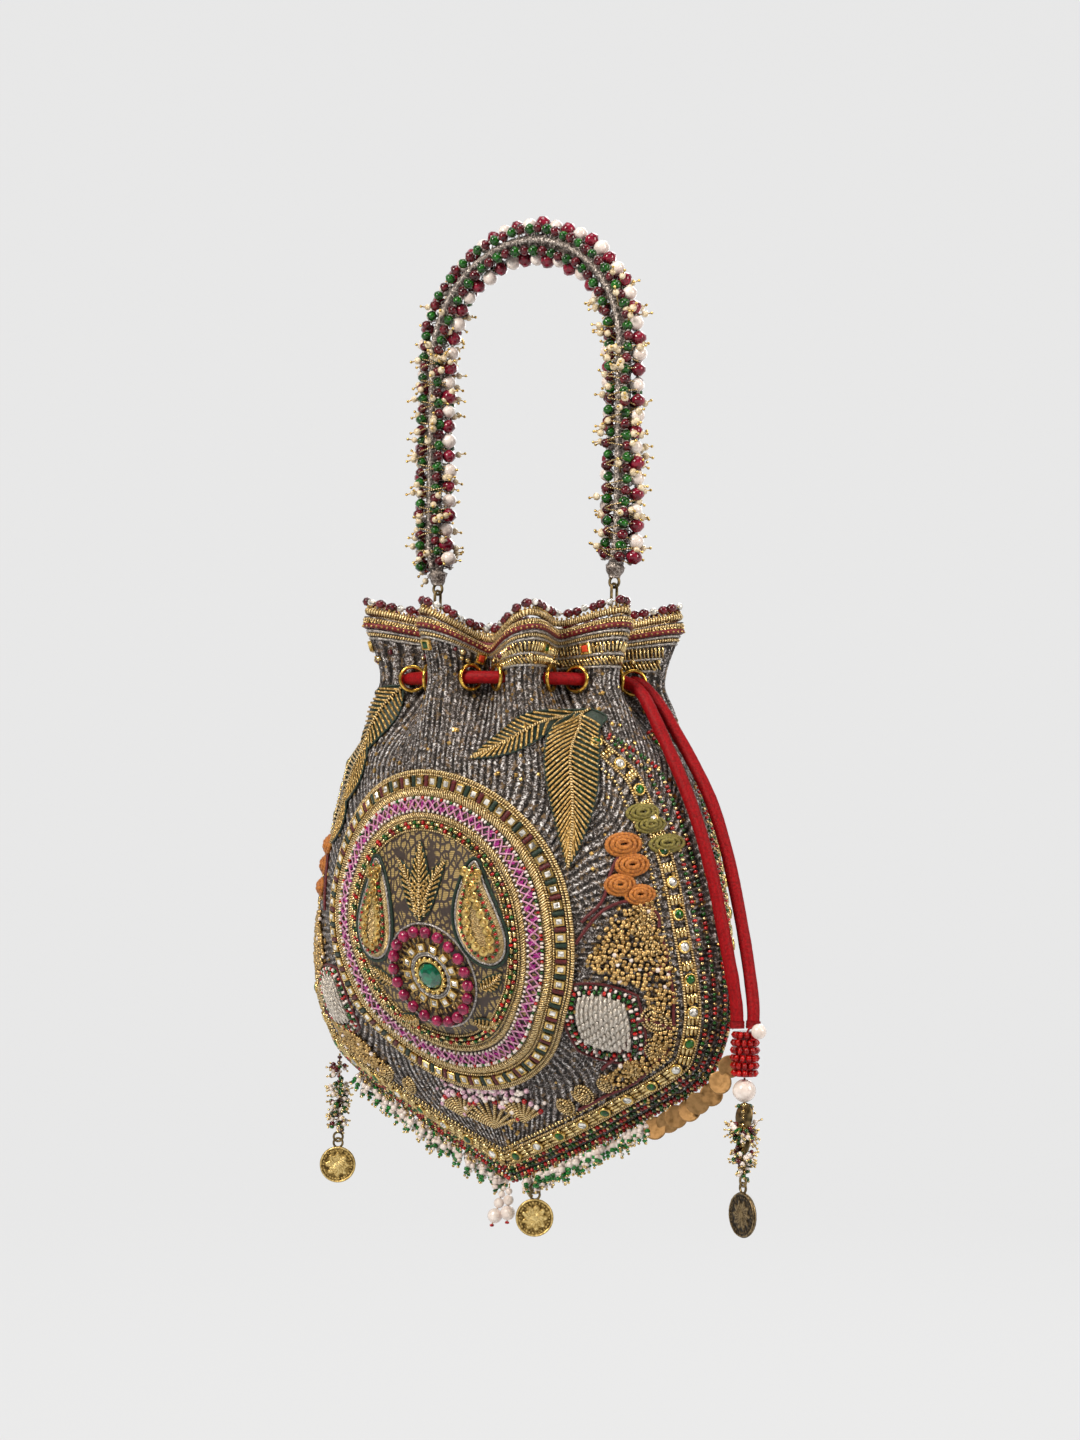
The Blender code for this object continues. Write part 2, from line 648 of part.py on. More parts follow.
def make_seam_trim(paint):
    outline = Outline(EDGE_TOP)
    sweep(
        "seam_beads",
        edge_strand(outline, -outline.total, outline.total, SEAM_BEAD_RADIUS + 2 * GAP, SEAM_BEAD_PITCH,
                    SEAM_BEAD_RADIUS, SEAM_BEAD_RADIUS * 0.7),
        4, False, paint["red_bead"],
    )
    fringe_out = 2 * SEAM_BEAD_RADIUS + FRINGE_RADIUS + GAP * 3
    for name, first, last in (
        ("hem_fringe_left", -FRINGE_LEFT_END, -FRINGE_TIP_SPACE),
        ("hem_fringe_right", FRINGE_TIP_SPACE, FRINGE_RIGHT_END),
    ):
        sweep(
            name,
            edge_strand(outline, first, last, fringe_out, FRINGE_PITCH, FRINGE_RADIUS,
                        FRINGE_RADIUS * 0.6),
            4, False, paint["pearl"],
        )
    coin_out = 2 * SEAM_BEAD_RADIUS + EDGE_COIN_RADIUS + GAP * 3
    first = FRINGE_RIGHT_END + EDGE_COIN_RADIUS + 1.5 * MM
    for k in range(EDGE_COINS):
        point, out = outline.at(first + EDGE_COIN_PITCH * k)
        shingle = (0.5 if k % 2 else -0.5) * (EDGE_COIN_THICK + GAP)
        disc(f"edge_coin_{k + 1}", point + out * coin_out + Vector((0, shingle, 0)),
             Vector((0, 1, 0)), EDGE_COIN_RADIUS, EDGE_COIN_THICK, paint["aged_brass"], sides=14)
    return outline


def make_borders(paint, outline):
    """Set stones and bugle beads along the edge of each panel."""
    for name, side in (("border_front", -1), ("border_back", 1)):
        count = round(outline.total / BORDER_PITCH)
        half = []
        for k in range(2 * count + 1):
            point, out = outline.at(outline.total * k / (2 * count))
            inner = point - out * BORDER_INSET
            if inner.x > 0.25 * BORDER_PITCH:
                half.append((inner.x, inner.z, k % 2 == 0))
        whole = [(-x, z, stone) for x, z, stone in reversed(half)] + half
        places = [front_point(x, z, 0.0, side) for x, z, _ in whole]
        rings = []
        for i, (point, normal) in enumerate(places):
            ahead = places[min(i + 1, len(places) - 1)][0] - places[max(i - 1, 0)][0]
            across = ahead.cross(normal).normalized()
            wide, tall = (
                (STONE_HALF_WIDTH, STONE_HALF_HEIGHT) if whole[i][2]
                else (BUGLE_HALF_WIDTH, BUGLE_HALF_HEIGHT)
            )
            lift = GAP * 2 + STONE_HALF_HEIGHT
            rings.append((point + normal * lift, across, normal, wide, tall))
        sweep(name, rings, 4, False, paint["gilt_setting"], square=True)


# Medallion


def oval_place(share_x, share_z, lift):
    x = MEDALLION_HALF_WIDTH * share_x
    z = MEDALLION_HEIGHT + MEDALLION_HALF_HEIGHT * share_z
    return front_point(x, z, lift)


def patch(name, grid, low, high, finish):
    """A thin plate over the front panel. grid holds rows of (x, z), the first row one point."""
    points, faces = [], []
    layers = []
    for lift in (low, high):
        rows = []
        for row in grid:
            rows.append([len(points) + k for k in range(len(row))])
            points += [front_point(x, z, lift)[0] for x, z in row]
        layers.append(rows)
    for rows in layers:
        for k in range(len(rows[1])):
            m = (k + 1) % len(rows[1])
            faces.append((rows[0][0], rows[1][k], rows[1][m]))
        for inner, outer in zip(rows[1:], rows[2:]):
            for k in range(len(inner)):
                m = (k + 1) % len(inner)
                faces.append((inner[k], outer[k], outer[m], inner[m]))
    bottom, top = layers[0][-1], layers[1][-1]
    for k in range(len(bottom)):
        m = (k + 1) % len(bottom)
        faces.append((bottom[k], bottom[m], top[m], top[k]))
    return add_mesh(name, points, faces, finish)


def make_medallion(paint):
    spokes, circles = 32, 4
    grid = [[(0.0, MEDALLION_HEIGHT)]]
    for ring in range(1, circles + 1):
        share = ring / circles
        grid.append([
            (
                MEDALLION_HALF_WIDTH * share * math.cos(2 * math.pi * k / spokes),
                MEDALLION_HEIGHT + MEDALLION_HALF_HEIGHT * share * math.sin(2 * math.pi * k / spokes),
            )
            for k in range(spokes)
        ])
    top = MEDALLION_LIFT + MEDALLION_THICK
    patch("medallion_patch", grid, MEDALLION_LIFT, top, paint["brocade"])

    share = 1 - SETTING_INSET / MEDALLION_HALF_WIDTH
    length = 2 * math.pi * share * (MEDALLION_HALF_WIDTH + MEDALLION_HALF_HEIGHT) / 2
    count = round(length / SETTING_PITCH)
    rings = []
    for k in range(2 * count):
        turn = 2 * math.pi * k / (2 * count)
        along = 2 * math.pi / (4 * count)
        tall = SETTING_HEIGHT if k % 2 else SETTING_HEIGHT * 0.6
        lift = top + 2 * GAP + SETTING_HEIGHT
        place, normal = oval_place(share * math.cos(turn), share * math.sin(turn), lift)
        before, _ = oval_place(share * math.cos(turn - along), share * math.sin(turn - along), lift)
        after, _ = oval_place(share * math.cos(turn + along), share * math.sin(turn + along), lift)
        across = (after - before).cross(normal).normalized()
        rings.append((place, across, normal, SETTING_HALF, tall))
    sweep("medallion_settings", rings, 4, True, paint["gilt_setting"], square=True)

    beads = round(2 * math.pi * ROSETTE_RADIUS / (2.2 * ROSETTE_BEAD_RADIUS))
    lift = top + GAP * 2 + ROSETTE_BEAD_RADIUS
    rings = []
    for k in range(2 * beads):
        turn = math.pi * k / beads
        x, z = ROSETTE_RADIUS * math.cos(turn), ROSETTE_HEIGHT + ROSETTE_RADIUS * math.sin(turn)
        place, normal = front_point(x, z, lift)
        out = Vector((math.cos(turn), 0, math.sin(turn)))
        across = (out - normal * out.dot(normal)).normalized()
        radius = ROSETTE_BEAD_RADIUS * (1 if k % 2 else 0.6)
        rings.append((place, across, normal, radius, radius))
    sweep("rosette_beads", rings, 4, True, paint["pink_bead"])

    sides, steps = 12, 3
    place, normal = front_point(0.0, ROSETTE_HEIGHT, top + GAP * 2)
    side = Vector((1, 0, 0))
    up = normal.cross(side).normalized()
    rings = []
    for k in range(steps + 1):
        share = math.cos(0.42 * math.pi * k / steps)
        rise = ROSETTE_STONE_HEIGHT * math.sin(0.42 * math.pi * k / steps)
        rings.append((place + normal * rise, side, up, ROSETTE_STONE_RADIUS * share,
                      ROSETTE_STONE_RADIUS * share))
    sweep("rosette_stone", rings, sides, False, paint["green_glass"])
    make_paisleys(paint, top + GAP)


def paisley_outline(steps):
    """Points round a mango shape that stands on its round end and leans its tip to +X."""
    found = []
    for k in range(steps):
        turn = 2 * math.pi * k / steps
        height = (1 - math.cos(turn)) / 2
        width = math.sin(turn) * (1 - 0.6 * height ** 1.3)
        lean = 0.5 * height ** 3
        found.append(((width * 0.62 + lean) * PAISLEY_WIDTH, (height - 0.5) * PAISLEY_LENGTH))
    return found


def make_paisleys(paint, base):
    """Two mango motifs of padded metal thread, round ends beside the rosette and tips curled out."""
    along, up = math.cos(PAISLEY_LEAN), math.sin(PAISLEY_LEAN)
    middle = (0.12 * PAISLEY_WIDTH, -0.12 * PAISLEY_LENGTH)
    for name, side in (("paisley_left", -1), ("paisley_right", 1)):
        grid = []
        for share in (0.0, 0.5, 1.0):
            row = []
            for x, z in paisley_outline(20):
                px = middle[0] + (x - middle[0]) * share
                pz = middle[1] + (z - middle[1]) * share
                row.append((side * (PAISLEY_OFFSET + px * along - pz * up),
                            PAISLEY_HEIGHT + px * up + pz * along))
            grid.append(row[:1] if share == 0 else row)
        patch(name, grid, base + GAP, base + GAP + PAISLEY_THICK, paint["gold_braid"])


# Handle and the hardware that it hangs the bag from


def handle_line():
    """Centre line of the handle, from its left end over the top to its right end."""
    end_x = ring_x()
    half = []
    for k in range(12):
        t = k / 12
        half.append(Vector((end_x + (HANDLE_HALF_SPREAD - end_x) * smooth(t), 0,
                            HANDLE_END_HEIGHT + HANDLE_TAPER * t)))
    leg = HANDLE_SHOULDER - HANDLE_END_HEIGHT - HANDLE_TAPER
    for k in range(30):
        half.append(Vector((HANDLE_HALF_SPREAD, 0, HANDLE_END_HEIGHT + HANDLE_TAPER + leg * k / 30)))
    for k in range(41):
        turn = 0.5 * math.pi * k / 40
        half.append(Vector((HANDLE_HALF_SPREAD * math.cos(turn), 0,
                            HANDLE_SHOULDER + HANDLE_HALF_SPREAD * math.sin(turn))))
    left = [Vector((-p.x, 0, p.z)) for p in half]
    return left[:-1] + half[::-1]


def handle_row(angle, distance, pitch, large, small):
    """Rings of one row of beads along the handle. Angle 0 faces -Y and 90 degrees faces outwards."""
    line = Route(handle_line())
    face = Vector((0, -1, 0))
    shifted, ups = [], []
    steps = 300
    for k in range(steps + 1):
        point, way = line.at(HANDLE_CAP + (line.total - 2 * HANDLE_CAP) * k / steps)
        up = face * math.cos(angle) + Vector((-way.z, 0, way.x)) * math.sin(angle)
        shifted.append(point + up * distance)
        ups.append(up)
    row = Route(shifted)
    count = round(row.total / pitch)
    rings = []
    for k in range(2 * count + 1):
        length = row.total * k / (2 * count)
        point, way = row.at(length)
        up = ups[round(steps * k / (2 * count))]
        radius = large if k % 2 else small
        rings.append((point, way.cross(up).normalized(), up, radius, radius))
    return rings


def make_handle(paint):
    """The core with a wrapped cone and a wire loop at each end, and the rows of beads round it."""
    silver = paint["silver_plait"]
    line = Route(handle_line())
    y = Vector((0, 1, 0))
    stations = [
        (0.0, HANDLE_TIP_RADIUS), (0.5 * HANDLE_CAP, 0.8 * HANDLE_CAP_RADIUS),
        (0.85 * HANDLE_CAP, HANDLE_CAP_RADIUS), (HANDLE_CAP - GAP, HANDLE_CAP_RADIUS),
        (HANDLE_CAP - GAP + 0.01 * MM, CORE_RADIUS),
    ]
    middle = line.total - 2 * HANDLE_CAP
    plain = [(HANDLE_CAP + middle * k / 24, CORE_RADIUS) for k in range(1, 24)]
    places = stations + plain + [(line.total - s, r) for s, r in reversed(stations)]
    rings = []
    for s, radius in places:
        point, way = line.at(s)
        rings.append((point, y, way.cross(y).normalized(), radius, radius))
    core = sweep("handle_core", rings, 8, False, silver)
    loop_z = HANDLE_END_HEIGHT - LOOP_RADIUS + WIRE_RADIUS
    for name, side in (("left_loop", -1), ("right_loop", 1)):
        loop = torus(name, Vector((side * ring_x(), 0, loop_z)), y, Vector((0, 0, 1)),
                     LOOP_RADIUS, WIRE_RADIUS, silver)
        join_solids(core, loop)
    small_out = CORE_RADIUS + SMALL_BEAD_RADIUS + 2 * GAP
    large_out = CORE_RADIUS + LARGE_BEAD_RADIUS + 2 * GAP
    rows = (
        ("handle_beads_front_outer", FRONT_ROW_ANGLE, small_out, SMALL_BEAD_PITCH, SMALL_BEAD_RADIUS,
         "green_glass"),
        ("handle_beads_front_inner", -FRONT_ROW_ANGLE, small_out, SMALL_BEAD_PITCH,
         SMALL_BEAD_RADIUS, "maroon_glass"),
        ("handle_beads_side_outer", SIDE_ROW_ANGLE, large_out, LARGE_BEAD_PITCH, LARGE_BEAD_RADIUS,
         "pearl"),
        ("handle_beads_side_inner", -SIDE_ROW_ANGLE, large_out, LARGE_BEAD_PITCH, LARGE_BEAD_RADIUS,
         "maroon_glass"),
        ("handle_beads_back", math.pi, small_out, SMALL_BEAD_PITCH, SMALL_BEAD_RADIUS, "green_glass"),
    )
    for name, angle, distance, pitch, radius, finish in rows:
        sweep(name, handle_row(angle, distance, pitch, radius, radius * 0.55), 4, False, paint[finish])


def ring_heights():
    """Heights of the rim ring's middle, its upper wire, the link's middle and the loop's lower wire."""
    ring_middle = rim_top() + GAP + LOOP_RADIUS + WIRE_RADIUS
    ring_wire = ring_middle + LOOP_RADIUS
    link_low = ring_wire - 2 * WIRE_RADIUS - GAP
    loop_wire = HANDLE_END_HEIGHT + WIRE_RADIUS - 2 * LOOP_RADIUS
    link_high = loop_wire + 2 * WIRE_RADIUS + GAP
    return ring_middle, ring_wire, link_low, link_high, loop_wire


def make_rings_and_links(paint):
    ring_middle, _, link_low, link_high, _ = ring_heights()
    for side_name, side in (("left", -1), ("right", 1)):
        x = side * ring_x()
        torus(f"rim_ring_{side_name}", Vector((x, 0, ring_middle)), Vector((0, 1, 0)),
              Vector((0, 0, 1)), LOOP_RADIUS, WIRE_RADIUS, paint["aged_brass"])
        straight = link_high - link_low - 2 * SMALL_LOOP
        torus(f"link_{side_name}", Vector((x, 0, (link_low + link_high) / 2)), Vector((1, 0, 0)),
              Vector((0, 0, 1)), SMALL_LOOP, WIRE_RADIUS, paint["aged_brass"], straight=straight)


# Charms


def strand(name, top, length, radius, pitch, finish, loop_normal=None, first=None):
    """A short hanging string of beads. With loop_normal, it ends in a wire loop."""
    count = max(1, round(length / pitch))
    rings = [(0.0, THREAD_RADIUS), (THREAD_DROP, THREAD_RADIUS)]
    for k in range(2 * count + 1):
        size = radius if k % 2 else radius * 0.5
        if first is not None and k == 1:
            size = first
        rings.append((THREAD_DROP * 1.5 + (length - THREAD_DROP * 1.5) * k / (2 * count), size))
    x, y = Vector((1, 0, 0)), Vector((0, 1, 0))
    made = sweep(name, [(top - Vector((0, 0, drop)), x, y, r, r) for drop, r in rings], 6, False,
                 finish)
    if loop_normal is not None:
        centre = Vector((top.x, top.y, top.z - length - SMALL_LOOP + THIN_WIRE * 0.5))
        loop = torus(name + "_end", centre, loop_normal, Vector((0, 0, 1)), SMALL_LOOP, THIN_WIRE,
                     finish, sides=4)
        join_solids(made, loop)
    return made


def coin(name, wire_centre, turn, radius, paint):
    """A coin with a soldered bail, hung on a wire whose centre is given. It faces -Y when turn is 0."""
    normal = Vector((math.sin(turn), -math.cos(turn), 0))
    bail_top = wire_centre.z + 2 * THIN_WIRE + GAP
    bail = Vector((wire_centre.x, wire_centre.y, bail_top - SMALL_LOOP))
    centre = Vector((wire_centre.x, wire_centre.y, bail.z - SMALL_LOOP - radius + THIN_WIRE * 0.8))
    made = disc(name, centre, normal, radius, COIN_THICK, paint["aged_brass"], sides=20)
    loop = torus(name + "_bail", bail, normal, Vector((0, 0, 1)), SMALL_LOOP, THIN_WIRE,
                 paint["aged_brass"], sides=4)
    join_solids(made, loop)
    return made


def strand_wire(top, length):
    """Centre of the lower wire of the loop at the end of a strand."""
    return Vector((top.x, top.y, top.z - length - 2 * SMALL_LOOP + THIN_WIRE * 0.5))


def seam_hang(outline, length):
    """Where a charm hangs from the seam: just below the seam beads."""
    point, out = outline.at(length)
    return point + out * (2 * SEAM_BEAD_RADIUS + GAP * 2) + Vector((0, 0, -GAP))


def turned(angle):
    return Vector((math.cos(angle), math.sin(angle), 0))


def make_charms(paint, outline):
    corner = seam_hang(outline, -LEFT_CHARM_PLACE)
    strand("left_strand", corner, LEFT_STRAND_LENGTH, STRAND_BEAD_RADIUS, STRAND_BEAD_PITCH,
           paint["pearl"], turned(COIN_TURN))
    coin("left_coin", strand_wire(corner, LEFT_STRAND_LENGTH), COIN_TURN, COIN_RADIUS, paint)

    strand("pearl_drop", seam_hang(outline, -PEARL_DROP_ASIDE), PEARL_DROP_LENGTH, PEARL_RADIUS,
           PEARL_DROP_LENGTH / 3, paint["pearl"])
    ring_top = seam_hang(outline, COIN_ASIDE)
    strand("middle_loop", ring_top, MIDDLE_CHAIN_LENGTH, THIN_WIRE * 1.6, MIDDLE_CHAIN_LENGTH,
           paint["aged_brass"], turned(COIN_TURN))
    coin("middle_coin", strand_wire(ring_top, MIDDLE_CHAIN_LENGTH), COIN_TURN, COIN_RADIUS, paint)


def make_tassel(paint):
    axis = Vector((TASSEL_X, TASSEL_Y, 0))
    rows = 4
    rings = []
    for k in range(2 * rows + 1):
        z = TASSEL_TOP - GAP - TASSEL_CAP_LENGTH * k / (2 * rows)
        barrel = 1 - 0.12 * abs(k / rows - 1) ** 2
        radius = TASSEL_CAP_RADIUS * barrel * (1 if k % 2 else 0.9)
        rings.append((axis + Vector((0, 0, z)), Vector((1, 0, 0)), Vector((0, 1, 0)), radius, radius))
    sweep("tassel_cap", rings, 8, False, paint["red_bead"])
    top = axis + Vector((0, 0, TASSEL_TOP - 2 * GAP - TASSEL_CAP_LENGTH))
    strand("tassel_strand", top, TASSEL_STRAND_LENGTH, STRAND_BEAD_RADIUS, STRAND_BEAD_PITCH,
           paint["pearl"], turned(TASSEL_COIN_TURN), first=PEARL_RADIUS)
    coin("tassel_coin", strand_wire(top, TASSEL_STRAND_LENGTH), TASSEL_COIN_TURN, TASSEL_COIN_RADIUS,
         paint)


def main():
    for old in list(bpy.data.objects):
        bpy.data.objects.remove(old)
    root = bpy.data.objects.new(ROOT, None)
    bpy.context.scene.collection.objects.link(root)
    handle_outside = CORE_RADIUS + 2 * LARGE_BEAD_RADIUS + 2 * GAP
    grip = HANDLE_SHOULDER + HANDLE_HALF_SPREAD - handle_outside * math.sin(SIDE_ROW_ANGLE)
    root.location = (0, 0, -grip)
    paint = finishes()
    make_shell(paint)
    make_drawstring(paint)
    make_eyelets(paint)
    make_mouth_trim(paint)
    outline = make_seam_trim(paint)
    make_borders(paint, outline)
    make_medallion(paint)
    make_handle(paint)
    make_rings_and_links(paint)
    make_charms(paint, outline)
    make_tassel(paint)


main()
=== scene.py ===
"""A potli bag: an embroidered drawstring pouch on a beaded handle, hung up in a pale studio."""

import math

import bpy
import numpy as np
from mathutils import Matrix, Vector


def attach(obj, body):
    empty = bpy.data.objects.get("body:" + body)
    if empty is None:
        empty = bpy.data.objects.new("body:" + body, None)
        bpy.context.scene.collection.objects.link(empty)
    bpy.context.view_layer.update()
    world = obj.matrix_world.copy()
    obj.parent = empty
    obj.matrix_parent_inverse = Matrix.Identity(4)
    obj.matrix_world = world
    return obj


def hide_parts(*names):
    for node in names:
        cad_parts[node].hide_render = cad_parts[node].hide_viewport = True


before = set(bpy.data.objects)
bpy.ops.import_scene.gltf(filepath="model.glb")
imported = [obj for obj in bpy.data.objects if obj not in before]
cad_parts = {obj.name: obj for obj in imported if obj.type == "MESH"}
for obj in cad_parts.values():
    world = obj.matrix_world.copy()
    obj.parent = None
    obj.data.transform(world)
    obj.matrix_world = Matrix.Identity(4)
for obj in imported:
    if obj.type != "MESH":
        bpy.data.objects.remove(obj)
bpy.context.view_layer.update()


# Studio. A pale sweep below and behind the hanging bag, matt paper, lit by large soft lamps.
# The bag touches nothing, so the paper is well below it.

def linear(code):
    """A colour written as sRGB hex, as the linear values that Blender works in."""
    parts = [int(code[i:i + 2], 16) / 255 for i in (1, 3, 5)]
    return tuple(p / 12.92 if p <= 0.04045 else ((p + 0.055) / 1.055) ** 2.4 for p in parts) + (1.0,)


def add_node(tree, kind, inputs=None, steps=(), out=0, **settings):
    """One node with its settings, given back as one of its output sockets, or as all with out None.
    An input is a value, an sRGB hex colour or the socket that feeds it, and steps are the (place, hex
    colour) stops of a ramp."""
    made = tree.nodes.new("ShaderNode" + kind)
    for key, value in settings.items():
        setattr(made, key, value)
    for key, item in (inputs or {}).items():
        if isinstance(item, bpy.types.NodeSocket):
            tree.links.new(item, made.inputs[key])
        else:
            made.inputs[key].default_value = linear(item) if isinstance(item, str) else item
    for _ in steps[2:]:
        made.color_ramp.elements.new(0.5)
    for stop, (place, code) in enumerate(steps):
        made.color_ramp.elements[stop].position = place
        made.color_ramp.elements[stop].color = linear(code)
    if out is None:
        return made.outputs
    return made.outputs[out] if made.outputs else None


def empty_material(name):
    """A material to fill, and its node tree."""
    made = bpy.data.materials.new(name)
    made.use_nodes = True
    made.node_tree.nodes.clear()
    return made, made.node_tree


PAPER = "#e8e8e8"


def studio_paper():
    """Matt studio paper. The camera sees its colour as it is, apart from the softest of shadows."""
    made, tree = empty_material("studio_paper")
    grain = add_node(tree, "TexNoise", {"Scale": 900.0, "Detail": 2.0})
    tone = add_node(tree, "MapRange", {"Value": grain, "From Min": 0.3, "From Max": 0.7,
                                       "To Min": 0.3, "To Max": 0.36})
    matt = add_node(tree, "BsdfDiffuse", {"Color": PAPER, "Roughness": tone})
    plain = add_node(tree, "Emission", {"Color": PAPER, "Strength": 1.033})
    light = add_node(tree, "LightPath", out=None)
    seen = add_node(tree, "Math", {0: light["Is Camera Ray"], 1: light["Is Glossy Ray"]},
                    operation="MAXIMUM")
    part = add_node(tree, "Math", {0: seen, 1: 0.94}, operation="MULTIPLY")
    both = add_node(tree, "MixShader", {0: part, 1: matt, 2: plain})
    add_node(tree, "OutputMaterial", {"Surface": both})
    return made


def sweep_paper():
    """A floor that bends up into a wall, square to the camera."""
    floor_level, back_depth, bend, reach = -0.62, 1.6, 0.5, 6.0
    turn = math.radians(35)       # square to the camera
    away = Vector((-math.sin(turn), math.cos(turn), 0))
    side = Vector((math.cos(turn), math.sin(turn), 0))
    profile = [(-reach, floor_level)]
    for k in range(17):
        corner = k / 16 * math.pi / 2
        profile.append((back_depth + bend * math.sin(corner), floor_level + bend * (1 - math.cos(corner))))
    profile.append((back_depth + bend, floor_level + reach))
    points = [away * along + side * (reach * way) + Vector((0, 0, height))
              for along, height in profile for way in (-1, 1)]
    mesh = bpy.data.meshes.new("paper_sweep")
    mesh.from_pydata(points, [], [(2 * k, 2 * k + 1, 2 * k + 3, 2 * k + 2) for k in range(len(profile) - 1)])
    mesh.shade_smooth()
    paper = bpy.data.objects.new("paper_sweep", mesh)
    bpy.context.scene.collection.objects.link(paper)
    mesh.materials.append(studio_paper())


sweep_paper()

world = bpy.data.worlds.new("studio_air")
bpy.context.scene.world = world
world.use_nodes = True
world.node_tree.nodes.clear()
light = add_node(world.node_tree, "LightPath", out=None)
seen = add_node(world.node_tree, "Math", {0: light["Is Camera Ray"], 1: light["Is Transmission Ray"]},
                operation="MAXIMUM")
level = add_node(world.node_tree, "MapRange", {"Value": seen, "To Min": 0.17, "To Max": 1.0})
air = add_node(world.node_tree, "Background", {"Color": PAPER, "Strength": level})
add_node(world.node_tree, "OutputWorld", {"Surface": air})

SIGHT = math.radians(35)          # the camera stands this far round from the front
EYE_LEVEL = math.radians(-2.0)
SIGHT_LINE = Vector((math.sin(SIGHT) * math.cos(EYE_LEVEL), -math.cos(SIGHT) * math.cos(EYE_LEVEL),
                     math.sin(EYE_LEVEL)))


def soft_lamp(name, around, height, distance, size, power, tint="#ffffff"):
    """An area lamp aimed at the pouch, so many degrees round from the camera."""
    turn = SIGHT + math.radians(around)
    target = Vector((0, 0, -0.2))
    place = target + Vector((math.sin(turn), -math.cos(turn), 0)) * distance + Vector((0, 0, height))
    lamp = bpy.data.lights.new(name, "AREA")
    lamp.shape = "RECTANGLE"
    lamp.size, lamp.size_y = size
    lamp.energy = power
    lamp.color = linear(tint)[:3]
    holder = bpy.data.objects.new(name, lamp)
    holder.location = place
    holder.rotation_euler = (target - place).to_track_quat("-Z", "Y").to_euler()
    bpy.context.scene.collection.objects.link(holder)


soft_lamp("key_lamp", -42, 0.75, 1.1, (0.35, 0.45), 17.0, "#fff6ea")
soft_lamp("side_lamp", 58, 0.45, 1.2, (0.35, 0.6), 9.5, "#fff6ea")
soft_lamp("top_lamp", 10, 1.3, 0.3, (0.6, 0.6), 6.0)
soft_lamp("rim_lamp", 165, 0.6, 1.2, (0.5, 0.9), 6.0)

eye = bpy.data.cameras.new("camera")
eye.lens = 67.5
eye.sensor_width = 36.0
aim = Vector((0.0060, 0.0042, -0.1830))
eye_place = aim + SIGHT_LINE * 1.08
camera = bpy.data.objects.new("camera", eye)
camera.location = eye_place
ROLL = math.radians(1.0)
camera.rotation_euler = (
    (aim - eye_place).to_track_quat("-Z", "Y").to_matrix() @ Matrix.Rotation(ROLL, 3, "Z")
).to_euler()
bpy.context.scene.collection.objects.link(camera)
bpy.context.scene.camera = camera
bpy.context.scene.view_settings.view_transform = "Standard"


# Pouch. Dark cotton satin over padding, lined in red silk and gathered round the neck.
# The face is covered with crinkled silver-grey metal cords, couched down side by side: they run
# out like rays from the medallion and turn upright towards the gathers.

MM = 0.001
TAU = 2 * math.pi
HEM = -364.646                    # height of the hem's tip under the hanging point, mm
NECK, MOUTH = 196.0, 218.0        # heights over the hem's tip, mm
CLOTH = 2.4                       # thickness of face, padding and lining
FOLDS = 10
FOLD_DEPTH, FOLD_START = 8.5, 161 # the gathers begin at this height and are deepest at the neck
WIDEST = 112                      # height from which the seams turn from sharp to round


def curve_through(stations):
    """A function through (place, size) stations that never swings past them between two of them."""
    xs, ys = (np.array(v, float) for v in zip(*stations))
    runs = np.diff(xs)
    rises = np.diff(ys) / runs
    near, far = 2 * runs[1:] + runs[:-1], runs[1:] + 2 * runs[:-1]
    with np.errstate(divide="ignore", invalid="ignore"):
        inner = (near + far) / (near / rises[:-1] + far / rises[1:])
    inner[rises[:-1] * rises[1:] <= 0] = 0
    slopes = np.concatenate([rises[:1], inner, rises[-1:]])

    def at(x):
        x = np.clip(x, xs[0], xs[-1])
        i = np.clip(np.searchsorted(xs, x, "right") - 1, 0, len(runs) - 1)
        h = runs[i]
        t = (x - xs[i]) / h
        return (ys[i] * (1 + 2 * t) * (1 - t) ** 2 + slopes[i] * h * t * (1 - t) ** 2
                + ys[i + 1] * t * t * (3 - 2 * t) + slopes[i + 1] * h * t * t * (t - 1))

    return at


half_width = curve_through(((0, 0), (25, 53), (50, 91), (72, 97), (112, 91.5), (160, 75), (182, 59),
                            (NECK, 50), (MOUTH, 55)))
half_depth = curve_through(((0, 0), (25, 15), (50, 31), (72, 49), (112, 62), (160, 62), (182, 55),
                            (NECK, 50), (MOUTH, 55)))


def ease(t):
    """0 to 1 with soft ends."""
    t = np.clip(t, 0, 1)
    return t * t * (3 - 2 * t)


def cloth(angle, height, lift=0.0):
    """Points of the cloth, mm from the hem's tip. Angle 0 is the seam at +X, -90 degrees the front."""
    fold = -(FOLD_DEPTH * ease((height - FOLD_START) / (NECK - FOLD_START))
             + 2 * ease((height - NECK) / (MOUTH - NECK)))
    fold = fold * np.cos(FOLDS * angle)
    width = np.maximum(half_width(height) + fold + lift, 0)
    depth = np.maximum(half_depth(height) + fold + lift, 0)
    sharp = 1.25 - 0.25 * ease((height - WIDEST) / (NECK - WIDEST))
    sine = np.sin(angle)
    above = np.maximum(height - NECK, 0) / (MOUTH - NECK)
    dip = 7 * np.exp(-((angle + math.radians(70)) / math.radians(17)) ** 2)
    rise = above * (-2.5 * np.cos(FOLDS * angle) - dip)
    return np.stack([width * np.cos(angle), depth * np.sign(sine) * np.abs(sine) ** sharp,
                     height + rise], -1)


def unit(v):
    """The same directions, 1 long."""
    return v / np.maximum(np.linalg.norm(v, axis=-1, keepdims=True), 1e-12)


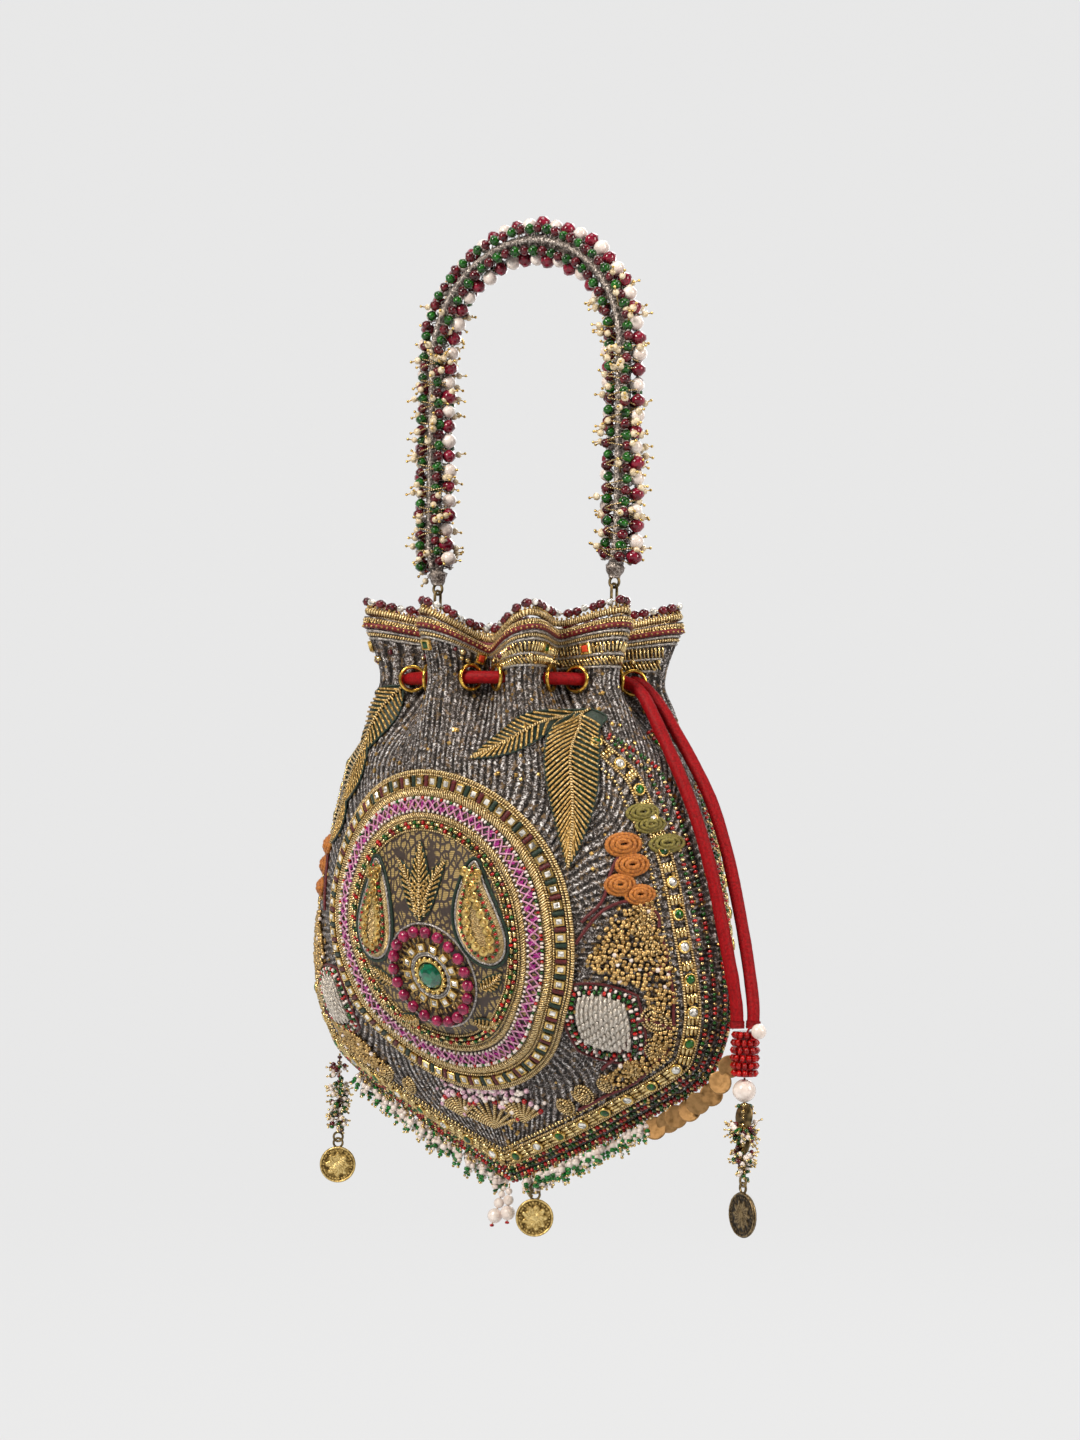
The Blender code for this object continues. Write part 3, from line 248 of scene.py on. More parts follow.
def cloth_frames(angle, height, lift=0.0, turn=0.0):
    """Points off the cloth with their axes: along it, up it and out of it. turn is in radians."""
    angle, height = np.broadcast_arrays(np.asarray(angle, float), np.asarray(height, float))
    along = unit(cloth(angle + 0.004, height) - cloth(angle - 0.004, height))
    up = cloth(angle, np.minimum(height + 0.3, MOUTH)) - cloth(angle, np.maximum(height - 0.3, 0.0))
    out = unit(np.cross(along, up))
    up = np.cross(out, along)
    points = cloth(angle, height) + out * np.reshape(lift, (-1, 1) if np.ndim(lift) else (1,))
    c, s = (np.broadcast_to(f(turn), angle.shape)[..., None] for f in (np.cos, np.sin))
    return points, np.stack([along * c + up * s, up * c - along * s, out], -2)


def make_piece(name, chunks, finishes, body, slot, *nodes, smooth=True):
    """One mesh piece that rides on a body and stands for the named solids. Each chunk is (points in mm
    over the hem's tip, faces, finish number or a list of them for each set of faces, and where it has
    threads (mm along, share across) for each point)."""
    points, loops, sizes, kinds, lays, base = [], [], [], [], [], 0
    for verts, faces, kind, *lay in chunks:
        verts = np.reshape(verts, (-1, 3))
        for k, corners in enumerate([faces] if isinstance(faces, np.ndarray) else faces):
            loops.append(corners.ravel() + base)
            sizes.append(np.full(len(corners), corners.shape[1]))
            kinds.append(np.broadcast_to(kind[k] if isinstance(kind, list) else kind, len(corners)))
        points.append(verts)
        lays.append(np.reshape(lay[0], (-1, 2)) if lay else np.zeros((len(verts), 2)))
        base += len(verts)
    points = (np.concatenate(points) + (0, 0, HEM)) * MM
    loops, sizes, kinds = (np.concatenate(v).astype(np.int32) for v in (loops, sizes, kinds))
    mesh = bpy.data.meshes.new(name)
    mesh.vertices.add(len(points))
    mesh.vertices.foreach_set("co", points.ravel())
    mesh.loops.add(len(loops))
    mesh.loops.foreach_set("vertex_index", loops)
    mesh.polygons.add(len(sizes))
    mesh.polygons.foreach_set("loop_start", np.concatenate([[0], np.cumsum(sizes)[:-1]]).astype(np.int32))
    mesh.polygons.foreach_set("material_index", kinds)
    mesh.polygons.foreach_set("use_smooth", np.full(len(sizes), smooth))
    mesh.update(calc_edges=True)
    lays = np.concatenate(lays)
    if lays.any():
        note = mesh.attributes.new("lay", "FLOAT_VECTOR", "POINT")
        note.data.foreach_set("vector", np.column_stack([lays, np.zeros(len(lays))]).ravel())
    for finish in finishes:
        mesh.materials.append(finish)
    made = bpy.data.objects.new(name, mesh)
    bpy.context.scene.collection.objects.link(made)
    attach(made, body)
    if nodes:
        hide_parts(*nodes)
    return made


def round_turn(count):
    """Even angles once round, in radians."""
    return TAU * np.arange(count) / count


def reach_along(line):
    """How far along a line each of its points is, mm."""
    return np.concatenate([[0], np.cumsum(np.linalg.norm(np.diff(line, axis=0), axis=1))])


def grid_faces(rows, columns, ring=False):
    """Quads of a grid whose points run row by row. ring closes each row on itself."""
    r, c = np.meshgrid(np.arange(rows - 1), np.arange(columns if ring else columns - 1), indexing="ij")
    after = (c + 1) % columns
    return np.stack([r * columns + c, r * columns + after, (r + 1) * columns + after,
                     (r + 1) * columns + c], -1).reshape(-1, 4)


def finish_with(tree, colour, roughness, bump=None, distance=0.0002, strength=1.0, metal=0.0, **sockets):
    """The shader that ends a material. colour is a socket or hex, roughness and metal may be sockets.
    A bump is a height socket, and distance is how far it stands out in metres."""
    inputs = {"Base Color": colour, "Roughness": roughness, "Metallic": metal}
    inputs.update((key.replace("_", " "), value) for key, value in sockets.items())
    if bump is not None:
        inputs["Normal"] = add_node(tree, "Bump", {"Strength": strength, "Distance": distance,
                                                   "Height": bump})
    shader = add_node(tree, "BsdfPrincipled", inputs)
    add_node(tree, "OutputMaterial", {"Surface": shader})


def blotches(tree, size_mm, detail=2.0, distortion=0.0):
    """Soft patches about so many mm across, fixed to the piece."""
    place = add_node(tree, "TexCoord", out="Object")
    return add_node(tree, "TexNoise", {"Vector": place, "Scale": 1 / (size_mm * MM), "Detail": detail,
                                       "Distortion": distortion})


def couched_silver_cord():
    """Crinkled silver-grey metal thread on dark satin, with stray gold flecks of its own colour. Painted
    light is laid over it: painted shade darkens the channels between the cords nearly to black, and
    painted highlights make the crests and crinkles glint up to white. The crinkle is drawn at 1.15 mm,
    coarse enough to show."""
    made, tree = empty_material("couched_silver_cord")
    rib = add_node(tree, "Attribute", attribute_name="rib", out="Fac")
    crinkle = blotches(tree, 1.15, 3.5, 1.4)
    gold_fleck_patches = blotches(tree, 1.9)
    # painted light: crest height and crinkle set the tone, from painted shade in the channels to painted
    # highlights on the crests
    crest = add_node(tree, "Math", {0: rib, 1: 2.2}, operation="POWER")
    lift = add_node(tree, "Math", {0: crest, 1: 0.48}, operation="MULTIPLY")
    spread = add_node(tree, "MapRange", {"Value": crinkle, "From Min": 0.36, "From Max": 0.66,
                                         "To Max": 0.54})
    tone = add_node(tree, "Math", {0: lift, 1: spread}, operation="ADD")
    # the ramp paints the shade nearly black and the highlights white; the greys between are the thread's own
    # silver
    silver = add_node(tree, "ValToRGB", {0: tone}, (
        (0.14, "#080605"), (0.4, "#211b18"), (0.6, "#4c443f"), (0.74, "#8f8988"), (0.87, "#dedadb"),
        (0.96, "#ffffff")))
    warm = add_node(tree, "Mix", {0: 0.5, 6: silver, 7: "#93744a"}, data_type="RGBA", out=2)
    patch = add_node(tree, "MapRange", {"Value": gold_fleck_patches, "From Min": 0.58, "From Max": 0.66})
    body = add_node(tree, "Mix", {0: patch, 6: silver, 7: warm}, data_type="RGBA", out=2)
    relief = add_node(tree, "Math", {0: crinkle, 1: rib}, operation="MULTIPLY")
    finish_with(tree, body, 0.44, relief, 0.0012, 0.9, 0.45, Specular_IOR_Level=0.5)
    return made


def red_silk_lining():
    """Plain woven silk, crimson. Its threads are about 0.4 mm apart, drawn at 1.2 mm so that they show."""
    made, tree = empty_material("red_silk_lining")
    place = add_node(tree, "TexCoord", out="Object")
    weave = add_node(tree, "TexWave", {"Vector": place, "Scale": 260.0, "Distortion": 0.6},
                     bands_direction="Z", out="Fac")
    colour = add_node(tree, "Mix", {0: blotches(tree, 3.0, 3.0), 6: "#5e151c", 7: "#7c2229"},
                      data_type="RGBA", out=2)
    finish_with(tree, colour, 0.5, weave, 0.00012, 0.5, Sheen_Weight=0.3)
    return made


def cord_height(angle, height, side):
    """Height of the couched cords, 0 in the channel to 1 on the crest. They are 2.7 mm apart, and
    where they spread further a new cord starts between two."""
    cords, pitch = 152, 2.7
    radius, centre, bend = 76, 98, 150     # mean radius of the pouch, heights of rays and upright lines

    def phase(a, h):
        across = (a - side * math.pi / 2) * -side * radius
        level = h - 12 * np.logaddexp(0, (h - bend) / 12)
        return np.arctan2(across, level - centre) / TAU * cords

    def wrapped(d):
        return (d + cords / 2) % cords - cords / 2

    run = wrapped(phase(angle + 0.002, height) - phase(angle - 0.002, height)) / (0.004 * radius)
    climb = wrapped(phase(angle, height + 0.2) - phase(angle, height - 0.2)) / 0.4
    octave = np.clip(np.log2(1 / np.maximum(np.hypot(run, climb), 1e-6) / pitch), -1.99, 2.99)
    low = np.floor(octave)
    blend = ease((octave - low - 0.3) / 0.4)
    here = phase(angle, height)
    found = []
    for step in (low, low + 1):
        part = (here * 2.0 ** step) % 1
        found.append(np.sqrt(np.clip(1 - (2 * part - 1) ** 2, 0, 1)))
    return found[0] * (1 - blend) + found[1] * blend


RIB_HEIGHT = 0.95                 # mm from channel to crest
rib_wander = np.random.default_rng(11).normal(size=(7, 3))


def ribbed_face(name, side, columns, rows):
    """One panel of the face. side is -1 for the front and 1 for the back."""
    share = np.linspace(0, 1, columns)
    angle, height = np.meshgrid(side * math.pi * share if side > 0 else -math.pi + math.pi * share,
                                MOUTH * np.linspace(0, 1, rows) ** 0.93)
    wobble = sum(a * np.sin(angle * (6 + 4 * k) + b * 3 + height * 0.045 * (c + 1.5)) for k, (a, b, c) in
                 enumerate(rib_wander)) * 0.006
    rib = cord_height(angle + wobble * ease(height / 60), height, side)
    edge = ease(np.minimum(share, 1 - share) * 30)[None, :] * ease((height - 1) / 6)
    points = cloth(angle, height)
    along = np.gradient(points, axis=1)
    out = unit(np.cross(along, np.gradient(points, axis=0)))
    out[0] = (0, 0, -1)
    points = points + out * ((rib - 0.5) * RIB_HEIGHT * edge)[..., None]
    face = make_piece(name, [(points, grid_faces(rows, columns), 0)], [couched_silver_cord()], "bag",
                      "embroidered_cloth", "bag_shell")
    note = face.data.attributes.new("rib", "FLOAT", "POINT")
    note.data.foreach_set("value", rib.ravel())


ribbed_face("pouch_front", -1, 320, 214)
ribbed_face("pouch_back", 1, 190, 120)


def lining():
    """The red lining, and the folded edge that joins it to the face at the mouth."""
    around, levels, bottom = 160, 48, 13.0
    turns = np.linspace(-math.pi, math.pi, around, endpoint=False)
    points = [cloth(turns, np.full(around, MOUTH))]
    for level in MOUTH - np.linspace(0.2, MOUTH - bottom - 0.2, levels):
        points.append(cloth(turns, np.full(around, level), -CLOTH))
    points.append(np.array([[0.0, 0.0, bottom]]))
    k = np.arange(around)
    base = levels * around
    fan = np.stack([base + k, base + (k + 1) % around, np.full(around, base + around)], -1)
    faces = [grid_faces(levels + 1, around, ring=True)[:, ::-1], fan[:, ::-1]]
    make_piece("pouch_lining", [(np.concatenate(points), faces, 0)], [red_silk_lining()], "bag",
               "embroidered_cloth", "bag_shell")


lining()


# Medallion. Gold brocade appliqué with rings of trim: foiled mirrors in gilt boxes between satin
# bars, woven gold braid, seed beads, pink zigzag stitch and gilt bugles. Two padded mango motifs and
# leaves of couched thread stand over a rosette of ruby beads round a green glass stone.

MEDALLION = (0.0, 98.5)           # its middle on the front: x, and height over the hem's tip
MEDALLION_HALF = (57.5, 61.5)     # half its width and height
PATCH_TOP = 2.1                   # its face over the cloth


def panel(x, z, lift=0.0, side=-1):
    """Points over the front panel at (x, height), or over the back with side 1, and their axes."""
    x, z = np.broadcast_arrays(np.asarray(x, float), np.asarray(z, float))
    angle = side * np.arccos(np.clip(x / np.maximum(half_width(z), 0.01), -1, 1))
    for _ in range(3):
        fold = -(FOLD_DEPTH * ease((z - FOLD_START) / (NECK - FOLD_START))) * np.cos(FOLDS * angle)
        angle = side * np.arccos(np.clip(x / np.maximum(half_width(z) + fold, 0.01), -1, 1))
    return cloth_frames(angle, z, lift)


def spaced(line, pitch, closed=False, start=0.5):
    """Even places along a line of points, given as positions among them."""
    if closed:
        line = np.concatenate([line, line[:1]])
    reach = reach_along(line)
    count = max(1, round(reach[-1] / pitch))
    if not closed and start == 0:
        return np.interp(np.linspace(0, reach[-1], count + 1), reach, np.arange(len(line)))
    return np.interp((np.arange(count) + start) * reach[-1] / count, reach, np.arange(len(line)))


def at_places(values, t, closed=False):
    """Values between those of a line, at positions among them."""
    values = np.concatenate([values, values[:1]]) if closed else values
    low = np.clip(np.floor(t).astype(int), 0, len(values) - 2)
    part = (t - low).reshape((-1,) + (1,) * (values.ndim - 1))
    return values[low] * (1 - part) + values[low + 1] * part


def placed(line, outs, pitch, closed=False, start=0.5):
    """Places every pitch mm along a line, with axes along it, across it and outwards."""
    ways = (np.roll(line, -1, 0) - np.roll(line, 1, 0)) if closed else np.gradient(line, axis=0)
    t = spaced(line, pitch, closed, start)
    points, ways, outs = (at_places(v, t, closed) for v in (line, ways, outs))
    ways = unit(ways)
    across = unit(np.cross(outs, ways))
    return points, np.stack([ways, across, np.cross(ways, across)], -2)


def row(x, z, lift, pitch, closed=False, start=0.5, side=-1):
    """Places every pitch mm along a line drawn on a panel."""
    line, axes = panel(x, z, lift, side)
    return placed(line, axes[:, 2], pitch, closed, start)


def round_row(line, lift, pitch, **how):
    """Places every pitch mm round a closed line drawn on a panel."""
    return row(*line, lift, pitch, closed=True, **how)


def turned(profile, sides, spin=0.5):
    """A shape turned round its third axis, as points and faces. Profile: (radius, height), going up."""
    verts, counts = [], []
    turn = TAU * (np.arange(sides) + spin) / sides
    for radius, height in profile:
        if radius == 0:
            verts.append([[0, 0, height]])
        else:
            verts.append(np.stack([radius * np.cos(turn), radius * np.sin(turn),
                                   np.full(sides, height)], -1))
        counts.append(len(verts[-1]))
    starts = np.concatenate([[0], np.cumsum(counts)])
    k = np.arange(sides)
    after = (k + 1) % sides
    quads, fans = [], []
    for i, (low, high) in enumerate(zip(counts, counts[1:])):
        a, b = starts[i], starts[i + 1]
        if low > 1 and high > 1:
            quads.append(np.stack([a + k, a + after, b + after, b + k], -1))
        elif high > 1:
            fans.append(np.stack([np.full(sides, a), b + after, b + k], -1))
        else:
            fans.append(np.stack([a + k, a + after, np.full(sides, b)], -1))
    return np.concatenate(verts), [np.concatenate(v) for v in (quads, fans) if v]


def copies(shape, places, axes, sizes, kind=0):
    """A chunk with the shape copied to each place. sizes and kind are for all, or one for each copy."""
    verts, faces = shape
    sizes = np.asarray(sizes, float)
    if sizes.ndim == 1 and len(sizes) == len(places) and len(places) != 3:
        sizes = sizes[:, None]
    sizes = np.broadcast_to(sizes, (len(places), 3))
    points = np.einsum("vk,nk,nkj->nvj", verts, sizes, axes) + places[:, None]
    step = len(verts) * np.arange(len(places))[:, None, None]
    if np.ndim(kind):
        kind = [np.repeat(kind, len(f)) for f in faces]
    return points, [(f[None] + step).reshape(-1, f.shape[1]) for f in faces], kind


def on_line(shape, placed_row, sizes, kind=0):
    """The shape copied along a row of places, its third axis along the row."""
    return copies(shape, placed_row[0], placed_row[1][:, [1, 2, 0]], sizes, kind)


def on_face(shape, placed_row, sizes, kind=0):
    """The shape copied along a row of places, standing on the cloth."""
    return copies(shape, placed_row[0], placed_row[1], sizes, kind)


def rope(placed_row, radius, kind=0, strands=3, twist=4.0, closed=False, flat=1.0, depth=0.24, sides=7):
    """A twisted cord along a row of close places. radius is in mm, or one for each place."""
    points, axes = placed_row
    turn = round_turn(sides)
    reach = reach_along(points)
    wave = 1 - depth + depth * np.abs(np.cos(strands / 2 * (turn[None] + TAU * reach[:, None] / twist)))
    size = wave * np.reshape(radius, (-1, 1))
    verts = (points[:, None] + axes[:, None, 1] * (size * np.cos(turn))[..., None]
             + axes[:, None, 2] * (size * flat * np.sin(turn))[..., None])
    count = len(points)
    faces = grid_faces(count, sides, ring=True)
    k, last = np.arange(sides), (count - 1) * sides
    if closed:
        after = (k + 1) % sides
        faces = np.concatenate([faces, np.stack([last + k, last + after, after, k], -1)])
        ends = []
    else:
        ends = [k[None, ::-1], (k + last)[None]]
    lay = np.stack(np.broadcast_arrays(reach[:, None], turn[None] / TAU), -1)
    return verts, [faces[:, ::-1]] + ends, kind, lay


def braid(placed_row, half, height, kind=0, stitch=2.6, closed=False, columns=7):
    """A flat woven braid: a strip whose threads cross over in a herringbone."""
    points, axes = placed_row
    across = np.linspace(-1, 1, columns)
    reach = reach_along(points)[:, None]
    wave = np.abs(np.sin(math.pi * (reach / stitch + 0.75 * np.abs(across))))
    rise = height * (np.sqrt(1 - 0.96 * across ** 2) * (0.55 + 0.45 * wave))
    rise[:, [0, -1]] = -0.3
    verts = (points[:, None] + axes[:, None, 1] * (half * across)[None, :, None]
             + axes[:, None, 2] * rise[..., None])
    faces = grid_faces(len(points), columns)
    if closed:
        k = np.arange(columns - 1)
        last = (len(points) - 1) * columns
        faces = np.concatenate([faces, np.stack([last + k, last + k + 1, k + 1, k], -1)])
    return verts, faces, kind, np.stack(np.broadcast_arrays(reach, across[None]), -1)


def in_turn(order, count, shift=0):
    """Finish numbers that repeat in this order along a row."""
    return np.array(order)[(np.arange(count) + shift) % len(order)]


# Shapes that are copied, each about 1 mm from its middle to its edge: round, cut and long beads,
# boxes with their square stones, and short bars of thread
BALL = turned([(0, -1), (0.78, -0.66), (1.04, 0), (0.78, 0.66), (0, 1)], 7)
SEED = turned([(0, -0.74), (0.98, -0.42), (0.98, 0.42), (0, 0.74)], 6)
FACETED = turned([(0, -0.95), (0.5, -0.9), (1.02, -0.28), (1.02, 0.28), (0.5, 0.9), (0, 0.95)], 7)
BUGLE = turned([(0, -1), (1, -0.95), (1, 0.95), (0, 1)], 7)
BOX = turned([(1.41, 0), (1.41, 0.75), (1.3, 0.95), (0.98, 0.95), (0.9, 0.7), (0, 0.7)], 4)
TABLE_CUT = turned([(0.9, 0.55), (0.86, 0.9), (0.55, 1.12), (0, 1.12)], 4)
BAR = turned([(0, -1), (1, -0.94), (1, 0.94), (0, 1)], 6)
PADDED_BAR = turned([(0, -1), (0.75, -1), (1, -0.8), (1, 0.8), (0.75, 1), (0, 1)], 10)


def gold_thread():
    """Fine gold-wrapped thread laid side by side, with painted light: pale gold painted highlights glint
    along the threads over painted brown shade between them, a thread every 0.45 mm drawn twice as
    coarse so that it shows."""
    made, tree = empty_material("gold_metal_thread")
    lay = add_node(tree, "Attribute", attribute_name="lay", out="Vector")
    parts = add_node(tree, "SeparateXYZ", {0: lay}, out=None)
    along = add_node(tree, "Math", {0: parts[0], 1: 6.3}, operation="MULTIPLY")
    slant = add_node(tree, "Math", {0: parts[1], 1: 5.0}, operation="MULTIPLY")
    both = add_node(tree, "Math", {0: along, 1: slant}, operation="ADD")
    threads = add_node(tree, "Math", {0: both}, operation="SINE")
    mixed = add_node(tree, "Math", {0: threads, 1: 0.28, 2: blotches(tree, 0.8, 3.0)},
                     operation="MULTIPLY_ADD")
    # painted light: the stripes run from painted shade, dark brown between the threads, to painted
    # highlights, pale gold on them
    colour = add_node(tree, "ValToRGB", {0: mixed}, (
        (0.16, "#3e2b10"), (0.36, "#8c6a34"), (0.56, "#cfab66"), (0.76, "#fbe6b4")))
    finish_with(tree, colour, 0.32, mixed, 0.0005, 0.9, 0.65)
    return made


def mottled(name, size_mm, detail, distortion, stops, rough):
    """A material in soft patches about so many mm across. It gives its tree, the patches, a colour
    that follows them, and the roughness: one value, or what follows them between two."""
    made, tree = empty_material(name)
    patch = blotches(tree, size_mm, detail, distortion)
    colour = add_node(tree, "ValToRGB", {0: patch}, stops)
    if isinstance(rough, tuple):
        rough = add_node(tree, "MapRange", {"Value": patch, "To Min": rough[0], "To Max": rough[1]})
    return made, tree, patch, colour, rough


def silver_thread(name, deep, middle, high):
    """Silver-wrapped thread: light grey glints over dark grey."""
    made, tree, fine, colour, rough = mottled(name, 0.7, 3.0, 0.8, (
        (0.3, deep), (0.5, middle), (0.72, high)), 0.36)
    finish_with(tree, colour, rough, fine, 0.0005, 0.7, 0.6)
    return made


def satin_thread(name, dark, light, sheen=0.08, specular=0.35):
    """Silk or satin embroidery thread with a soft sheen: fine strands show as light and dark."""
    made, tree, fine, colour, rough = mottled(name, 0.8, 3.0, 0.4, ((0.32, dark), (0.68, light)), 0.5)
    finish_with(tree, colour, rough, fine, 0.0004, 0.6, Sheen_Weight=sheen, Specular_IOR_Level=specular)
    return made


def glass(name, dark, light, roughness=0.12, coat=0.35, specular=0.4):
    """Glass bead or stone: deep colour with lighter streaks inside and a hard, bright highlight."""
    made, tree, _, colour, rough = mottled(name, 2.4, 2.0, 0.6, ((0.36, dark), (0.66, light)),
                                           (roughness * 0.7, roughness * 1.5))
    finish_with(tree, colour, rough, Coat_Weight=coat, Coat_Roughness=0.05, Specular_IOR_Level=specular)
    return made


def pearl_finish():
    """Imitation pearl: warm white with faint pink and grey clouds under a satin lustre."""
    made, tree, _, colour, rough = mottled("imitation_pearl", 3.5, 2.0, 0.0, (
        (0.3, "#d6c6be"), (0.5, "#e6dad4"), (0.7, "#f4ece8")), (0.16, 0.3))
    finish_with(tree, colour, rough, Coat_Weight=0.5, Coat_Roughness=0.12, Sheen_Weight=0.15)
    return made


def gilt_metal(name, dark, light, roughness=0.26):
    """Gilt brass: polished on the high spots and browner in the hollows."""
    made, tree, cloud, colour, rough = mottled(name, 2.0, 3.0, 0.0, ((0.32, dark), (0.62, light)),
                                               (roughness * 0.7, roughness * 1.4))
    finish_with(tree, colour, rough, cloud, 0.00015, 0.4, 0.95)
    return made


def foiled_mirror():
    """Clear glass over silver foil: pale grey with bright and dark patches, as its facets catch light."""
    made, tree, _, colour, rough = mottled("foiled_crystal", 2.6, 1.0, 1.5, (
        (0.34, "#6f6c68"), (0.48, "#c9c7c2"), (0.62, "#fbfaf6")), (0.05, 0.16))
    finish_with(tree, colour, rough, metal=0.25, Coat_Weight=0.8, Coat_Roughness=0.03)
    return made


def gold_brocade():
    """Dark brown silk woven with matt gold: leafy sprigs of broken gold lines, 2 to 4 mm across,
    thrown evenly over the ground."""
    made, tree = empty_material("gold_brocade")
    lay = add_node(tree, "Attribute", attribute_name="lay", out="Vector")
    wide = add_node(tree, "Math", {0: blotches(tree, 6.0), 1: 3.0}, operation="MULTIPLY")
    both = add_node(tree, "CombineXYZ", {0: wide, 1: wide})
    shift = add_node(tree, "VectorMath", {0: lay, 1: both}, operation="ADD")
    long = add_node(tree, "VectorMath", {0: shift, 1: (1.0, 0.55, 1.0)}, operation="MULTIPLY")
    sprig = add_node(tree, "TexVoronoi", {"Vector": long, "Scale": 0.5, "Randomness": 1.0},
                     voronoi_dimensions="2D", feature="DISTANCE_TO_EDGE")
    gap = add_node(tree, "MapRange", {"Value": sprig, "From Min": 0.13, "From Max": 0.22})
    area = add_node(tree, "MapRange", {"Value": blotches(tree, 9.0, 1.0), "From Min": 0.36,
                                       "From Max": 0.42})
    fleck = add_node(tree, "Math", {0: area, 1: gap}, operation="MULTIPLY")
    parts = add_node(tree, "SeparateXYZ", {0: lay}, out=None)
    weft = add_node(tree, "Math", {0: parts[1], 1: 9.0}, operation="MULTIPLY")
    lines = add_node(tree, "Math", {0: weft}, operation="SINE")
    broken = add_node(tree, "MapRange", {"Value": lines, "From Min": -0.9, "From Max": 0.1,
                                         "To Min": 0.3})
    shown = add_node(tree, "Math", {0: fleck, 1: broken}, operation="MULTIPLY")
    gold = add_node(tree, "Mix", {0: blotches(tree, 1.2), 6: "#8a7340", 7: "#d2b777"},
                    data_type="RGBA", out=2)
    silk = add_node(tree, "Mix", {0: blotches(tree, 1.0), 6: "#2b221e", 7: "#463832"},
                    data_type="RGBA", out=2)
    colour = add_node(tree, "Mix", {0: shown, 6: silk, 7: gold}, data_type="RGBA", out=2)
    finish_with(tree, colour, 0.5, shown, 0.0003, 0.7)
    return made


# Finishes that the trims share: gold and silver thread, gilt brass, coloured glass beads, imitation
# pearl, foiled mirror and satin or silk thread
GOLD_THREAD = gold_thread()
SILVER_THREAD = silver_thread("silver_metal_thread", "#4a4542", "#a09a95", "#efece8")
GILT = gilt_metal("gilt_brass", "#a07a36", "#f3d384")
BUGLE_GOLD = gilt_metal("gold_lined_glass", "#8e6c34", "#f4dca0", 0.22)
RED_GLASS = glass("red_glass", "#780608", "#cc1e18")
GREEN_GLASS = glass("green_glass", "#042604", "#1a6a10")
MAROON_GLASS = glass("maroon_glass", "#32050b", "#6c1020")
RUBY_GLASS = glass("ruby_pink_glass", "#5e0c2c", "#b02458", 0.18)
EMERALD = glass("emerald_glass", "#034a36", "#067a56", 0.05, 1.0, 0.6)
PEARL = pearl_finish()
CRYSTAL = foiled_mirror()
MAROON_SATIN = satin_thread("maroon_satin", "#32090c", "#6a1c20")
GREEN_SATIN = satin_thread("dark_green_satin", "#0c1a12", "#1f3a2c")
PINK_SILK = satin_thread("pink_silk", "#aa6a90", "#e6acca")
MAGENTA_SILK = satin_thread("magenta_silk", "#7c1266", "#bc2c98")


def oval(inset, steps=360):
    """(x, height) round the medallion, so many mm inside its edge."""
    turn = round_turn(steps)
    return (MEDALLION[0] + (MEDALLION_HALF[0] - inset) * np.cos(turn),
            MEDALLION[1] + (MEDALLION_HALF[1] - inset) * np.sin(turn))


def medallion_ground():
    """The brocade patch. It is padded, and turned under at its edge."""
    around = 96
    shares = np.concatenate([[0.001], np.linspace(0.03, 0.96, 30), [0.985, 1.0]])
    turn = round_turn(around)
    x = shares[:, None] * MEDALLION_HALF[0] * np.cos(turn)
    z = MEDALLION[1] + shares[:, None] * MEDALLION_HALF[1] * np.sin(turn)
    lift = np.interp(shares, [0, 0.55, 0.61, 0.96, 0.985, 1.0], [2.35, 2.25, 2.0, 2.0, 1.7, 0.4])
    points = panel(x.ravel(), z.ravel(), np.repeat(lift, around))[0]
    faces = grid_faces(len(shares), around, ring=True)
    make_piece("medallion_ground", [(points, faces, 0, np.stack([x, z], -1))], [gold_brocade()], "bag",
               "brocade", "medallion_patch")


